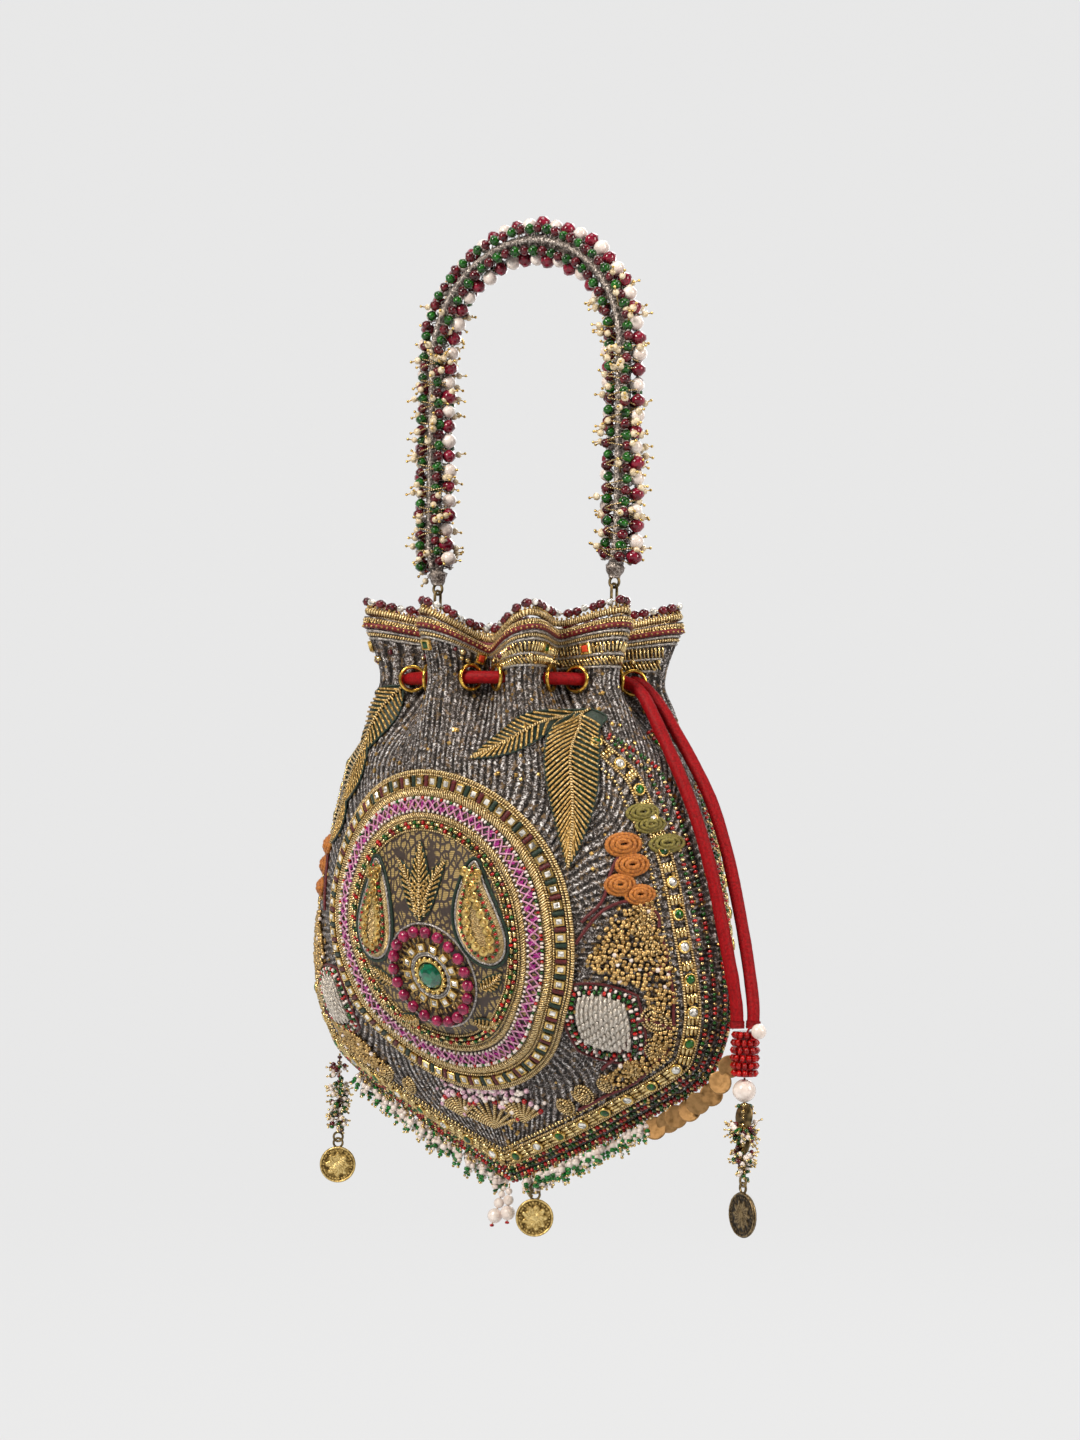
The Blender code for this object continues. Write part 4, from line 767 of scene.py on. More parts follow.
def medallion_rings():
    """The rings of trim, from the edge inwards."""
    top = PATCH_TOP
    chunks = []
    for inset, rise, pitch, radius, twist, sides in (
            (0.5, -0.7, 0.7, 0.95, 3.2, 7), (1.7, 0.2, 0.8, 0.5, 2.4, 5), (6.5, 0.3, 0.7, 0.45, 2.2, 5),
            (18.7, 0.2, 0.7, 0.42, 2.2, 5), (22.6, 0.2, 0.7, 0.5, 2.2, 5)):
        line = round_row(oval(inset), top + rise, pitch)
        chunks.append(rope(line, radius, 0, 2, twist, closed=True, sides=sides))
    chunks.append(braid(round_row(oval(8.3), top - 0.1, 0.5), 1.75, 1.0, 0, 2.7, closed=True))
    chunks.append(braid(round_row(oval(17.1), top, 0.5), 1.2, 0.85, 0, 2.2, closed=True))
    make_piece("medallion_braids", chunks, [GOLD_THREAD], "bag", "gold_braid")

    boxes = round_row(oval(4.1), top + 0.05, 6.05, start=0)
    bars = round_row(oval(4.1), top + 0.3, 6.05, start=0.5)
    upright = (bars[0], bars[1][:, [1, 0, 2]] * [[[1], [-1], [1]]])
    make_piece("medallion_settings", [
        on_face(BOX, boxes, (1.72, 1.95, 1.15), 0), on_face(TABLE_CUT, boxes, (1.6, 1.8, 1.15), 1),
        on_line(PADDED_BAR, upright, (0.95, 0.8, 2.15), in_turn((2, 3), len(bars[0]))),
    ], [GILT, CRYSTAL, MAROON_SATIN, GREEN_SATIN], "bag", "gilt_setting", "medallion_settings", smooth=False)

    seeds = round_row(oval(10.5), top + 0.6, 1.45)
    inner = round_row(oval(15.4), top + 0.6, 2.1)
    chunks = [on_line(SEED, seeds, 0.72, in_turn((0, 1, 1, 2, 1, 1), len(seeds[0]))),
              on_line(SEED, inner, 0.6, 1)]
    for inset, shift in ((19.9, 0), (21.4, 2)):
        beads = round_row(oval(inset), top + 0.65, 2.15)
        kinds = in_turn((3, 0, 3, 2), len(beads[0]), shift)
        long = kinds == 3
        chunks.append(on_line(BUGLE, (beads[0][long], beads[1][long]), (0.62, 0.62, 1.05), 3))
        chunks.append(on_line(SEED, (beads[0][~long], beads[1][~long]), 0.86, kinds[~long]))
    make_piece("medallion_seed_beads", chunks, [RED_GLASS, PEARL, GREEN_GLASS, BUGLE_GOLD], "bag",
               "green_glass")

    middle, reach = 13.0, 2.1
    count = 2 * round(TAU * 45 / 6.4)                 # stitches round the oval, 6.4 mm for each pair
    swing = 2 * np.abs(((np.arange(count * 8) / 8) / 2) % 1 - 0.5) * 2 - 1
    chunks = []
    for way, lift, radius in ((1, 0.5, 0.42), (-1, 0.35, 0.34)):
        line = round_row(oval(middle + way * reach * swing, count * 8), top + lift, 0.75)
        chunks.append(rope(line, radius, 0, 2, 3.2, closed=True, sides=5))
    chance = np.random.default_rng(5)
    tufts = round_row(oval(middle), top + 0.3, 4.6)
    spread = chance.normal(size=(len(tufts[0]), 6, 2)) * 0.5
    spread[::2, :, 1] += 0.9
    spread[1::2, :, 1] -= 0.9
    places = (tufts[0][:, None] + spread[..., :1] * tufts[1][:, None, 0]
              + spread[..., 1:] * tufts[1][:, None, 1])
    axes = np.repeat(tufts[1][:, None], 6, 1)
    lean = chance.uniform(-0.9, 0.9, (len(tufts[0]), 6, 1))
    axes = np.stack([axes[..., 0, :], unit(axes[..., 1, :] + lean * axes[..., 0, :]), axes[..., 2, :]], -2)
    chunks.append(on_line(BAR, (places.reshape(-1, 3), axes.reshape(-1, 3, 3)[:, [1, 0, 2]]),
                          (0.34, 0.34, 1.1), 1))
    make_piece("medallion_zigzag", chunks, [PINK_SILK, MAGENTA_SILK], "bag", "pink_bead")


def rosette():
    """Ruby beads round square mirrors, silver coils and the stone in its scalloped claw."""
    centre, top = (0.0, 83.0), PATCH_TOP + 0.25
    turn = round_turn(240)

    def ring(radius, lift, pitch, start=0.5):
        return row(centre[0] + radius * np.cos(turn), centre[1] + radius * np.sin(turn), lift, pitch,
                   closed=True, start=start)

    beads = ring(16.6, top + 2.0, TAU * 16.6 / 18)
    make_piece("rosette_beads", [on_line(BALL, beads, (2.35, 2.1, 2.5), 0)], [RUBY_GLASS], "bag",
               "pink_bead", "rosette_beads")
    boxes = ring(10.6, top, TAU * 10.6 / 12)
    claw = ring(6.4, top + 0.9, TAU * 6.4 / 16)
    ticks = ring(13.7, top + 0.4, TAU * 13.7 / 36)
    chunks = [on_face(BOX, boxes, (1.75, 1.75, 1.5), 0), on_face(TABLE_CUT, boxes, (1.6, 1.6, 1.5), 1)]
    make_piece("rosette_mirrors", chunks, [GILT, CRYSTAL], "bag", "gilt_setting", smooth=False)
    chunks = [on_line(BALL, (ticks[0], ticks[1][:, [1, 0, 2]]), (0.42, 0.42, 1.3), 0),
              on_line(BALL, claw, (1.0, 1.1, 1.0), 1),
              rope(ring(5.7, top + 0.8, 0.6), 0.8, 1, 2, 2.0, closed=True)]
    for radius in (7.7, 8.6):
        chunks.append(rope(ring(radius, top + 0.5, 0.5), 0.55, 2, 2, 1.5, closed=True, sides=5))
    chunks.append(rope(ring(19.3, top + 0.3, 0.6), 0.6, 2, 2, 1.8, closed=True, sides=5))
    make_piece("rosette_threads", chunks, [GOLD_THREAD, GILT, SILVER_THREAD], "bag", "gold_braid")
    stone = turned([(1.0, 0), (1.0, 0.25), (0.82, 0.62), (0.5, 0.9), (0, 1.0)], 12)
    place, axes = panel(np.array([centre[0]]), np.array([centre[1]]), top + 0.4)
    make_piece("rosette_stone", [copies(stone, place, axes, (5.2, 5.2, 3.4))], [EMERALD], "bag",
               "green_glass", "rosette_stone", smooth=False)


LEAF_FINISH = [GOLD_THREAD, GREEN_SATIN]


def slim(thick, long):
    """Sizes of bars that are this thick and each its own length, as halves in mm."""
    return np.stack([np.full(len(long), thick), np.full(len(long), thick), long], -1)


def leaf(base, tip, half, lift, side=-1, pitch=1.5, bend=0.0, back=0.16):
    """A leaf of couched metal thread: satin ground, plaited vein, slanting barbs and a corded edge.
    Its chunks use finishes 0 gold thread and 1 dark green satin. back is the slant of the barbs."""
    base, tip = np.array(base, float), np.array(tip, float)
    way = tip - base
    length = float(np.hypot(*way))
    way /= length
    cross = np.array([-way[1], way[0]])

    def middle(t):
        t = np.asarray(t)[..., None]
        return base + way * length * t + cross * bend * 4 * t * (1 - t)

    def width(t):
        return half * np.sin(math.pi * np.clip(t, 0, 1) ** 0.78) ** 0.85

    steps, columns = 60, 7
    t = np.linspace(0, 1, steps)
    edges = [middle(t) + cross * (width(t) * s)[:, None] for s in (-1, 1)]
    share = np.linspace(-1, 1, columns)
    ground = middle(t)[:, None] + cross * (width(t)[:, None] * share)[..., None]
    flat = ground.reshape(-1, 2)
    rise = lift + 0.35 * np.sqrt(1 - 0.9 * np.tile(share, steps) ** 2)
    chunks = [(panel(*flat.T, rise, side)[0], grid_faces(steps, columns)[:, ::-side], 1)]
    chunks.append(rope(row(*middle(t).T, lift + 0.9, 0.6, side=side, start=0), 0.62, 0, 2, 2.2))
    rim = np.concatenate([edges[0], edges[1][::-1][1:-1]])
    rim = row(*rim.T, lift + 0.45, 0.7, closed=True, side=side)
    chunks.append(rope(rim, 0.5, 1, 2, 2.0, closed=True, sides=5))
    starts = np.arange(0.05, 0.93, pitch / length)
    lines = []
    for s in (-1, 1):
        ends = np.clip(starts + back * (0.6 + 0.6 * starts), 0, 0.995)
        a = middle(starts)
        b = middle(ends) + cross * (s * 0.98 * width(ends))[:, None]
        lines.append(np.stack([a, b], 1))
    lines = np.concatenate(lines)
    barbs = lines[:, :1] + (lines[:, 1:] - lines[:, :1]) * np.linspace(0, 1, 4)[None, :, None]
    points, axes = panel(barbs[..., 0].ravel(), barbs[..., 1].ravel(), lift + 0.7, side)
    points, axes = points.reshape(-1, 4, 3), axes.reshape(-1, 4, 3, 3)[:, :-1].reshape(-1, 3, 3)
    first, last = points[:, :-1].reshape(-1, 3), points[:, 1:].reshape(-1, 3)
    ways = last - first
    reach = np.linalg.norm(ways, axis=1)
    keep = reach > 0.27
    ways = unit(ways)
    across = unit(np.cross(axes[:, 2], ways))
    frames = np.stack([across, np.cross(ways, across), ways], -2)
    chunks.append(copies(BAR, ((first + last) / 2)[keep], frames[keep], slim(0.46, reach * 0.56)[keep], 0))
    return chunks


def paisley_line(side, grow=0.0, steps=96):
    """(x, height) round a mango motif on the medallion, grown outwards by some mm."""
    turn = round_turn(steps)
    tall = (1 - np.cos(turn)) / 2
    wide = np.sin(turn) * (1 - 0.6 * tall ** 1.3)
    x, z = (wide * 0.62 + 0.5 * tall ** 3) * 17.5, (tall - 0.5) * 36.5
    line = np.stack([x, z], -1)
    ways = unit(np.roll(line, -1, 0) - np.roll(line, 1, 0))
    line = line + grow * np.stack([ways[:, 1], -ways[:, 0]], -1) * np.sign(
        np.sum(x * np.roll(z, -1) - z * np.roll(x, -1)))
    along, up = math.cos(math.radians(24)), math.sin(math.radians(24))
    return (side * (22 + line[:, 0] * along - line[:, 1] * up),
            105.5 + line[:, 0] * up + line[:, 1] * along)


def mango_motifs():
    """Padded mangos in slanting gold purl, edged with silver cord and green satin, with seed beads
    and cupped sequins inside."""
    top = PATCH_TOP + 0.3
    for name, side in (("paisley_left", -1), ("paisley_right", 1)):
        x, z = paisley_line(side)
        mid = (side * 24.0, 102.0)
        shares = np.linspace(0.02, 1, 26)[:, None]
        px, pz = mid[0] + (x - mid[0]) * shares, mid[1] + (z - mid[1]) * shares
        ridge = np.abs(np.sin((px * side * 0.6 + pz) * math.pi / 1.7))
        lift = top + 1.5 * np.sqrt(1 - 0.97 * shares ** 2) + 0.42 * ridge * (1 - 0.7 * shares ** 4)
        face = panel(px.ravel(), pz.ravel(), lift.ravel())[0]
        chunks = [(face, grid_faces(26, len(x), ring=True)[:, ::side], 0, np.stack([pz * 2, px], -1))]
        chunks.append(rope(row(x, z, top + 0.35, 0.6, closed=True), 0.55, 2, 2, 1.8, closed=True))
        outer = round_row(paisley_line(side, 1.3), top + 0.1, 0.7)
        chunks.append(rope(outer, 0.75, 1, 2, 3.0, closed=True))
        inner = round_row(paisley_line(side, -2.5), top + 1.6, 1.6)
        chunks.append(on_line(SEED, inner, 0.72, in_turn((3, 4), len(inner[0]))))
        sequin = turned([(0.2, 0.1), (0.6, 0.0), (1, 0.3), (1, 0.42), (0.6, 0.14), (0.2, 0.2)], 14)
        spots = round_row(paisley_line(side, -5.0), top + 1.9, 3.4)
        chunks.append(on_face(sequin, spots, (1.9, 1.9, 1.2), 5))
        chunks.append(on_line(BALL, (spots[0] + spots[1][:, 2] * 0.5, spots[1]), 0.62, 0))
        make_piece(name + "_motif", chunks, [GOLD_THREAD, GREEN_SATIN, SILVER_THREAD, RED_GLASS,
                                             GREEN_GLASS, GILT], "bag", "gold_braid", name)
    chunks = []
    for s in (-1, 1):
        chunks += leaf((s * 20.5, 79.0), (s * 30.5, 85.0), 2.6, top - 0.2, bend=-1.0 * s)
        chunks += leaf((s * 13.0, 66.0), (s * 24.0, 66.5), 2.6, top - 0.2, bend=-1.5 * s)
        chunks += leaf((s * 2.0, 105.0), (s * 11.0, 126.0), 3.4, top - 0.2, pitch=2.1, bend=1.8 * s)
    chunks += leaf((0.0, 103.5), (0.0, 133.0), 4.2, top + 0.1, pitch=2.1)
    make_piece("medallion_leaves", chunks, LEAF_FINISH, "bag", "gold_braid")


medallion_ground()
medallion_rings()
rosette()
mango_motifs()


# Mouth. Gold braid and a string of oval garnet-coloured and clear beads stand on the edge. Below
# it on the outside lie dark red piping, couched cords and seed beads, square stones in gilt boxes
# and, at the right, a band of gold bugles.


def ring_line(lift, below=0.0, first=-math.pi, last=math.pi, rise=0.0, steps=720):
    """A line round the bag below the mouth, with its outward directions."""
    angle = np.linspace(first, last, steps, endpoint=last - first < TAU - 0.01)
    points, axes = cloth_frames(angle, np.full(steps, MOUTH - below), lift)
    return points + (0, 0, rise), axes[:, 2]


def spun(axes, turn):
    """Axes on the cloth, turned about the way out of it."""
    c, s = math.cos(turn), math.sin(turn)
    return np.stack([axes[:, 0] * c + axes[:, 1] * s, axes[:, 1] * c - axes[:, 0] * s, axes[:, 2]], -2)


def clear_of_rings(places, room):
    """Whether each place is more than so many degrees round from the handle's rings."""
    return np.arctan2(np.abs(places[:, 1]), np.abs(places[:, 0])) > math.radians(room)


def mouth_trim():
    """Braid, piping, beads, boxed stones and bugles, from the edge down."""
    up = np.zeros((720, 3)) + (0, 0, 1)
    edge = ring_line(-CLOTH / 2, rise=1.9)[0]
    chunks = [rope(placed(edge, up, 0.8, closed=True), 1.5, 0, 3, 4.6, closed=True, sides=8)]
    for below, size, kind in ((1.0, 0.75, 0), (4.9, 0.65, 1), (6.2, 0.75, 0), (7.6, 0.6, 1)):
        line = placed(*ring_line(0.45, below), 0.8, closed=True)
        chunks.append(rope(line, size, kind, 2, 2.4, closed=True, sides=5))
    make_piece("mouth_braid", chunks, [GOLD_THREAD, SILVER_THREAD], "bag", "gold_braid", "rim_braid")

    line = placed(*ring_line(0.65, 3.0), 0.9, closed=True)
    piping = [rope(line, 1.15, 0, 2, 9, closed=True, depth=0.06),
              copies(BALL, *placed(*ring_line(1.75, 3.0), 2.2, closed=True), 0.42, 1)]
    make_piece("mouth_piping", piping, [satin_thread("dark_red_satin", "#480c10", "#821a20"),
                                        GOLD_THREAD], "bag", "red_satin")

    chance = np.random.default_rng(3)
    edge = ring_line(-CLOTH / 2, rise=5.6)[0]
    places, axes = placed(edge, up, 3.9, closed=True)
    away = clear_of_rings(places, 6.5)
    places, axes = places[away], axes[away]
    kinds = in_turn((0, 0, 1), len(places))
    places = places + chance.normal(size=places.shape) * (0.35, 0.35, 0.2)
    big = kinds == 0
    beads = [on_line(FACETED, (places[big], axes[big]), (1.75, 1.75, 2.2), 0),
             on_line(BALL, (places[~big], axes[~big]), (1.45, 1.45, 1.6), 1)]
    places, axes = placed(*ring_line(-CLOTH / 2, rise=3.6), 1.95, closed=True)
    away = clear_of_rings(places, 5.0)
    beads.append(on_line(SEED, (places[away], axes[away]), 0.62, 2))
    beads.append(rope(placed(edge, up, 1.2, closed=True), 0.3, 2, 2, 3.0, closed=True, sides=6))
    beads.append(copies(SEED, *placed(*ring_line(0.9, 1.9), 1.5, closed=True), 0.6, 3))
    make_piece("mouth_beads", beads, [MAROON_GLASS, CRYSTAL, GOLD_THREAD, BUGLE_GOLD], "bag",
               "maroon_glass", "rim_beads")

    orange = glass("orange_enamel", "#c83a1c", "#ee5a34", 0.3, 0.3)
    stones = np.radians([-128, -109.9, -90.6, -76.3, -46.6, -26.8, 60, 100, 140])
    places, axes = cloth_frames(stones, np.full(9, MOUTH - 10.2), 0.4)
    squares = [copies(BOX, places, axes, (2.1, 2.1, 1.5), 0),
               copies(TABLE_CUT, places, axes, (2.05, 2.05, 1.5), in_turn((1, 2), 9))]
    make_piece("mouth_stones", squares, [GILT, GREEN_GLASS, orange], "bag", "gilt_setting", smooth=False)

    spots = chance.uniform(-math.pi, 0.3, 64)
    places, axes = cloth_frames(spots, MOUTH - chance.uniform(8.6, 15.5, 64), 0.6, chance.uniform(0, 3, 64))
    nuggets = [on_line(FACETED, (places, axes), chance.uniform(0.75, 1.35, 64),
                       chance.integers(0, 4, 64) // 3)]
    first, last = math.radians(-66), math.radians(14)
    for below, tall, lean in ((10.4, 2.1, 0.0), (15.2, 1.9, 0.5)):
        places, axes = placed(*ring_line(0.5, below, first, last, steps=240), 1.5)
        nuggets.append(on_line(BUGLE, (places, spun(axes, lean)[:, [1, 0, 2]]), (0.5, 0.6, tall), 0))
    for below in (12.9, 17.5):
        line = placed(*ring_line(0.5, below, first, last, steps=240), 0.8)
        nuggets.append(rope(line, 0.6, 2, 2, 2.4, sides=5))
    make_piece("mouth_bugles", nuggets, [BUGLE_GOLD, MAROON_GLASS, SILVER_THREAD], "bag", "gilt_setting")


mouth_trim()


# Seam and borders. Rows of red and green seed beads with gold bugles cover the seam. Round stones
# in gilt rims, white and green in turn, stand along the edge of both panels between pairs of gold
# bugles.


BORDER_MIDDLE, BORDER_EDGE = 6.5, 10.4      # mm inwards from the seam


def seam_line(inset, top=176.0, steps=480):
    """(x, height) along the seam from the left over the tip to the right, moved inwards."""
    z = np.linspace(0, top, steps)
    x = half_width(z) - FOLD_DEPTH * ease((z - FOLD_START) / (NECK - FOLD_START))
    ways = unit(np.stack([np.gradient(x), np.gradient(z)], -1))
    x, z = x - ways[:, 1] * inset, z + ways[:, 0] * inset
    keep = x > (0.6 if inset > 0 else -0.01)
    x, z = x[keep], z[keep]
    return np.concatenate([-x[::-1], x]), np.concatenate([z[::-1], z])


def flat_line(offset, y=0.0, top=176.0):
    """The seam's line in the bag's middle plane, moved outwards, with its outward directions."""
    x, z = seam_line(-offset, top)
    line = np.stack([x, np.full(len(x), y), z], -1)
    ways = unit(np.gradient(line, axis=0))
    return line, np.stack([ways[:, 2], np.zeros(len(x)), -ways[:, 0]], -1)


def seam_and_borders():
    """The rows of seed beads over the seam, and the border of stones on both panels."""
    chunks = []
    for offset, y, shift in ((1.9, 0.0, 0), (1.0, -1.9, 1), (1.0, 1.9, 2)):
        places, axes = placed(*flat_line(offset, y), 1.75)
        kinds = in_turn((0, 0, 1, 2, 1, 0, 2), len(places), shift * 3)
        chunks.append(on_line(SEED, (places, axes), 0.92, kinds))
    for side in (-1, 1):
        for inset, lift, order in ((1.6, 0.6, (0, 0, 2, 1, 1, 2)), (3.3, 0.7, (1, 2, 0, 2))):
            places, axes = row(*seam_line(inset), lift, 1.8, side=side)
            chunks.append(on_line(SEED, (places, axes), 0.9, in_turn(order, len(places))))
        chunks.append(on_line(SEED, row(*seam_line(BORDER_EDGE), 0.65, 1.7, side=side), 0.75, 2))
    make_piece("seam_seed_beads", chunks, [RED_GLASS, GREEN_GLASS, BUGLE_GOLD], "bag", "red_bead",
               "seam_beads")

    rim = turned([(1.15, 0), (1.2, 0.5), (1.1, 0.9), (0.92, 0.95), (0.85, 0.7)], 12)
    dome = turned([(0.86, 0.6), (0.72, 1.0), (0.4, 1.2), (0, 1.26)], 10)
    for name, side in (("border_front", -1), ("border_back", 1)):
        line = seam_line(BORDER_MIDDLE)
        stones = row(*line, 0.5, 12.5, side=side, start=0)
        chunks = [on_face(rim, stones, (2.15, 2.15, 1.5), 0),
                  on_face(dome, stones, (2.15, 2.15, 1.5), in_turn((1, 2), len(stones[0])))]
        places, axes = row(*line, 0.9, 4.15, side=side)
        free = np.min(np.linalg.norm(places[:, None] - stones[0][None], axis=-1), axis=1) > 2.9
        places, axes = places[free], axes[free]
        for across in (-1.55, 0.0, 1.55):
            chunks.append(on_line(BUGLE, (places + axes[:, 1] * across, axes), (0.74, 0.74, 1.85), 3))
        line = row(*line, 0.7, 0.8, side=side)
        for across in (-2.9, 2.9):
            chunks.append(rope((line[0] + line[1][:, 1] * across, line[1]), 0.6, 4, 2, 2.2, sides=5))
        make_piece(name + "_stones", chunks, [GILT, CRYSTAL, GREEN_GLASS, BUGLE_GOLD, GOLD_THREAD], "bag",
                   "gilt_setting", name)


seam_and_borders()


# Hem fringe and edge discs. Short strings of pearls, green seeds and gold beads hang along both
# slopes of the hem, and thin brass discs like small coins overlap at the right corner.

BRIGHT_GREEN = glass("bright_green_glass", "#064a14", "#148a30")


def standing(way, hint):
    """Axes whose third is the given way. hint is any direction that is not along it."""
    side = unit(np.cross(way, hint))
    return np.stack([side, np.cross(way, side), way], -2)


def hem_fringe():
    """Short strings that hang out and down: a seed, a pearl, two green seeds and a gold bead each."""
    chance = np.random.default_rng(21)
    line, outs = flat_line(2.3)
    reach = reach_along(line)
    reach -= reach[-1] / 2        # 0 at the tip
    for name, first, last in (("hem_fringe_left", -88, -5), ("hem_fringe_right", 5, 69)):
        count = int((last - first) / 0.82)
        at = np.interp(np.linspace(first, last, count), reach, np.arange(len(line)))
        base, out = at_places(line, at), at_places(outs, at)
        base = base + np.stack([np.zeros(count), chance.uniform(-2.6, 2.6, count), np.zeros(count)], -1)
        hang = unit(out * 0.55 + (0, 0, -0.75) + chance.normal(size=(count, 3)) * (0.3, 0.45, 0.12))
        axes = standing(hang, (0.3, 1, 0.1))
        long = chance.uniform(0.75, 1.15, count)
        chunks = [copies(BAR, base + hang * 3.4 * long[:, None], axes, slim(0.25, 3.6 * long), 3)]
        for drop, size, shape, order in ((1.4, 0.95, SEED, (1, 2, 0)), (3.1, 1.4, BALL, (0, 0, 0)),
                                         (5.1, 1.2, SEED, (1, 1, 0)), (6.6, 0.95, SEED, (1, 1, 0)),
                                         (7.7, 0.62, BALL, (2, 2, 2))):
            kinds = np.array(order)[chance.integers(0, 3, count)]
            chunks.append(copies(shape, base + hang * (drop * long)[:, None], axes,
                                 size * chance.uniform(0.85, 1.1, count), kinds))
        make_piece(name + "_beads", chunks, [PEARL, BRIGHT_GREEN, BUGLE_GOLD, GOLD_THREAD], "bag", "pearl",
                   name)


def edge_discs():
    """Thin brass discs that overlap like fish scales, each held by a gold seed."""
    brass = gilt_metal("aged_brass_disc", "#8c6b42", "#b28b5c", 0.5)
    disc = turned([(0, -0.06), (0.9, -0.06), (0.98, -0.03), (1, 0.0), (0.98, 0.03), (0.9, 0.06),
                   (0.25, 0.04), (0, 0.04)], 24)
    count, radius, first, pitch = 8, 4.5, 70.5, 5.3
    line, outs = flat_line(7.0)
    seam = flat_line(0.0)[0]
    reach = reach_along(seam)
    reach -= reach[-1] / 2
    at = np.interp(first + pitch * np.arange(count), reach, np.arange(len(seam)))
    at = np.minimum(at, len(line) - 2)
    places, out = at_places(line, at), at_places(outs, at)
    places[:, 1] += np.resize((-0.9, 0.9), count)
    face = np.stack([np.full(count, 0.42), np.full(count, -0.9), np.resize((0.1, -0.12, 0.18), count)], -1)
    face = unit(face + out * np.resize((-0.15, 0.2, 0.05), count)[:, None])
    upright = unit(out - face * np.sum(out * face, -1, keepdims=True))
    axes = np.stack([unit(np.cross(out, face)), upright, face], -2)
    chunks = [copies(disc, places, axes, radius, 0),
              copies(SEED, places - out * (radius - 0.1), axes, 0.8, 1)]
    make_piece("edge_discs", chunks, [brass, BUGLE_GOLD], "bag", "aged_brass",
               *(f"edge_coin_{k}" for k in range(1, 6)), smooth=False)


hem_fringe()
edge_discs()


# Drawstring. A round cord of red satin, sewn with a fine seam, runs through gilt eyelets at the
# neck. Its two ends hang down at the right and meet in the tassel.

TAIL_END = 65.0
TAIL_FRONT = ((50.4, -5.2, 131.0), (52.0, -4.2, 130.6), (56.2, -4.1, 128.8), (60.6, -4.6, 125.2),
              (65.4, -5.6, 118.6), (71.8, -6.6, 108.2), (80.5, -7.5, 93.0), (88.5, -8.0, 76.0),
              (94.8, -7.6, 57.0), (99.5, -7.0, 37.0), (103.0, -6.4, 21.0), (105.2, -6.0, 9.0),
              (105.7, -6.0, 0.0))
TAIL_BACK = ((50.4, 5.2, 131.0), (52.0, 4.2, 130.7), (56.6, 3.9, 128.4), (62.4, 3.7, 122.6),
             (68.8, 3.6, 114.0), (77.0, 3.6, 102.0), (86.6, 3.4, 86.0), (94.0, 2.9, 68.0),
             (99.8, 2.4, 48.0), (104.4, 1.6, 30.0), (108.0, 0.2, 15.0), (109.8, -1.2, 7.0),
             (110.2, -2.0, 0.0))
CORD_RADIUS = 2.6
NECK_RADIUS = 50
EYELET_SHIFT = (1.6 + 0.75) / math.sin(math.atan2(85, NECK_RADIUS)) / NECK_RADIUS   # radians round


def smooth_line(points, pitch):
    """A smooth curve through points, in even steps."""
    points = np.array(points, float)
    ends = np.concatenate([[2 * points[0] - points[1]], points, [2 * points[-1] - points[-2]]])
    t = np.linspace(0, 1, 24, endpoint=False)[:, None]
    found = []
    for a, b, c, d in zip(ends, ends[1:], ends[2:], ends[3:]):
        found.append(0.5 * (2 * b + (c - a) * t + (2 * a - 5 * b + 4 * c - d) * t * t
                            + (3 * b - a - 3 * c + d) * t ** 3))
    line = np.concatenate(found + [points[-1:]])
    return at_places(line, spaced(line, pitch, start=0))


def satin_cord(line):
    """A satin tube with slight puckers and the stitches of its seam."""
    outs = unit(np.cross(np.gradient(line, axis=0), (0.3, 1.0, 0.25)))
    places = placed(line, outs, 1.2, start=0)
    count = len(places[0])
    chance = np.random.default_rng(count)       # so that each length of cord puckers in its own way
    puckers = np.convolve(chance.normal(size=count + 4), np.ones(5) / 5, "valid") * 0.11
    skin = rope(places, CORD_RADIUS - 0.08 + puckers, 0, 1, 400, depth=0.04, sides=12)
    points, axes = placed(line, outs, 1.5, start=0)
    stitches = points - axes[:, 2] * (CORD_RADIUS - 0.15)
    return [skin, on_line(BALL, (stitches, axes), (0.22, 0.22, 0.55), 1)]


def drawstring():
    """The ring in the neck and the two tails. It gives each tail with its middle line in metres."""
    satin = satin_thread("red_satin_cord", "#720a10", "#a01018", 0.0, 0.12)
    dark = satin_thread("deep_red_stitch", "#33060a", "#4c0c12", 0.0, 0.1)
    first = TAU / (4 * FOLDS) - EYELET_SHIFT
    turn = np.linspace(first, TAU - first, 140)
    ring = np.stack([NECK_RADIUS * np.cos(turn), NECK_RADIUS * np.sin(turn), np.full(140, NECK)], -1)
    ends = []
    for points in (TAIL_BACK, TAIL_FRONT):
        a, b = np.array(points[:2]) + (0, 0, TAIL_END)
        ends.append([a, a - unit(b - a) * 1.8])
    line = np.concatenate([[ends[0][0] * 0.92 + ends[0][1] * 0.08], ends[0][1:], ring[3:-3],
                           ends[1][1:], [ends[1][0] * 0.92 + ends[1][1] * 0.08]])
    make_piece("drawstring_ring", satin_cord(smooth_line(line, 1.0)), [satin, dark], "bag", "red_satin",
               "drawstring_neck")
    tails = []
    for name, points in (("drawstring_tail_front", TAIL_FRONT), ("drawstring_tail_back", TAIL_BACK)):
        line = smooth_line(np.array(points) + (0, 0, TAIL_END), 1.5)
        line[0] += unit(line[1] - line[0]) * 0.15
        line[-1] += unit(line[-2] - line[-1]) * 0.15
        made = make_piece(name + "_satin", satin_cord(line), [satin, dark], "bag", "red_satin", name)
        tails.append((made, (line + (0, 0, HEM)) * MM))
    return tails


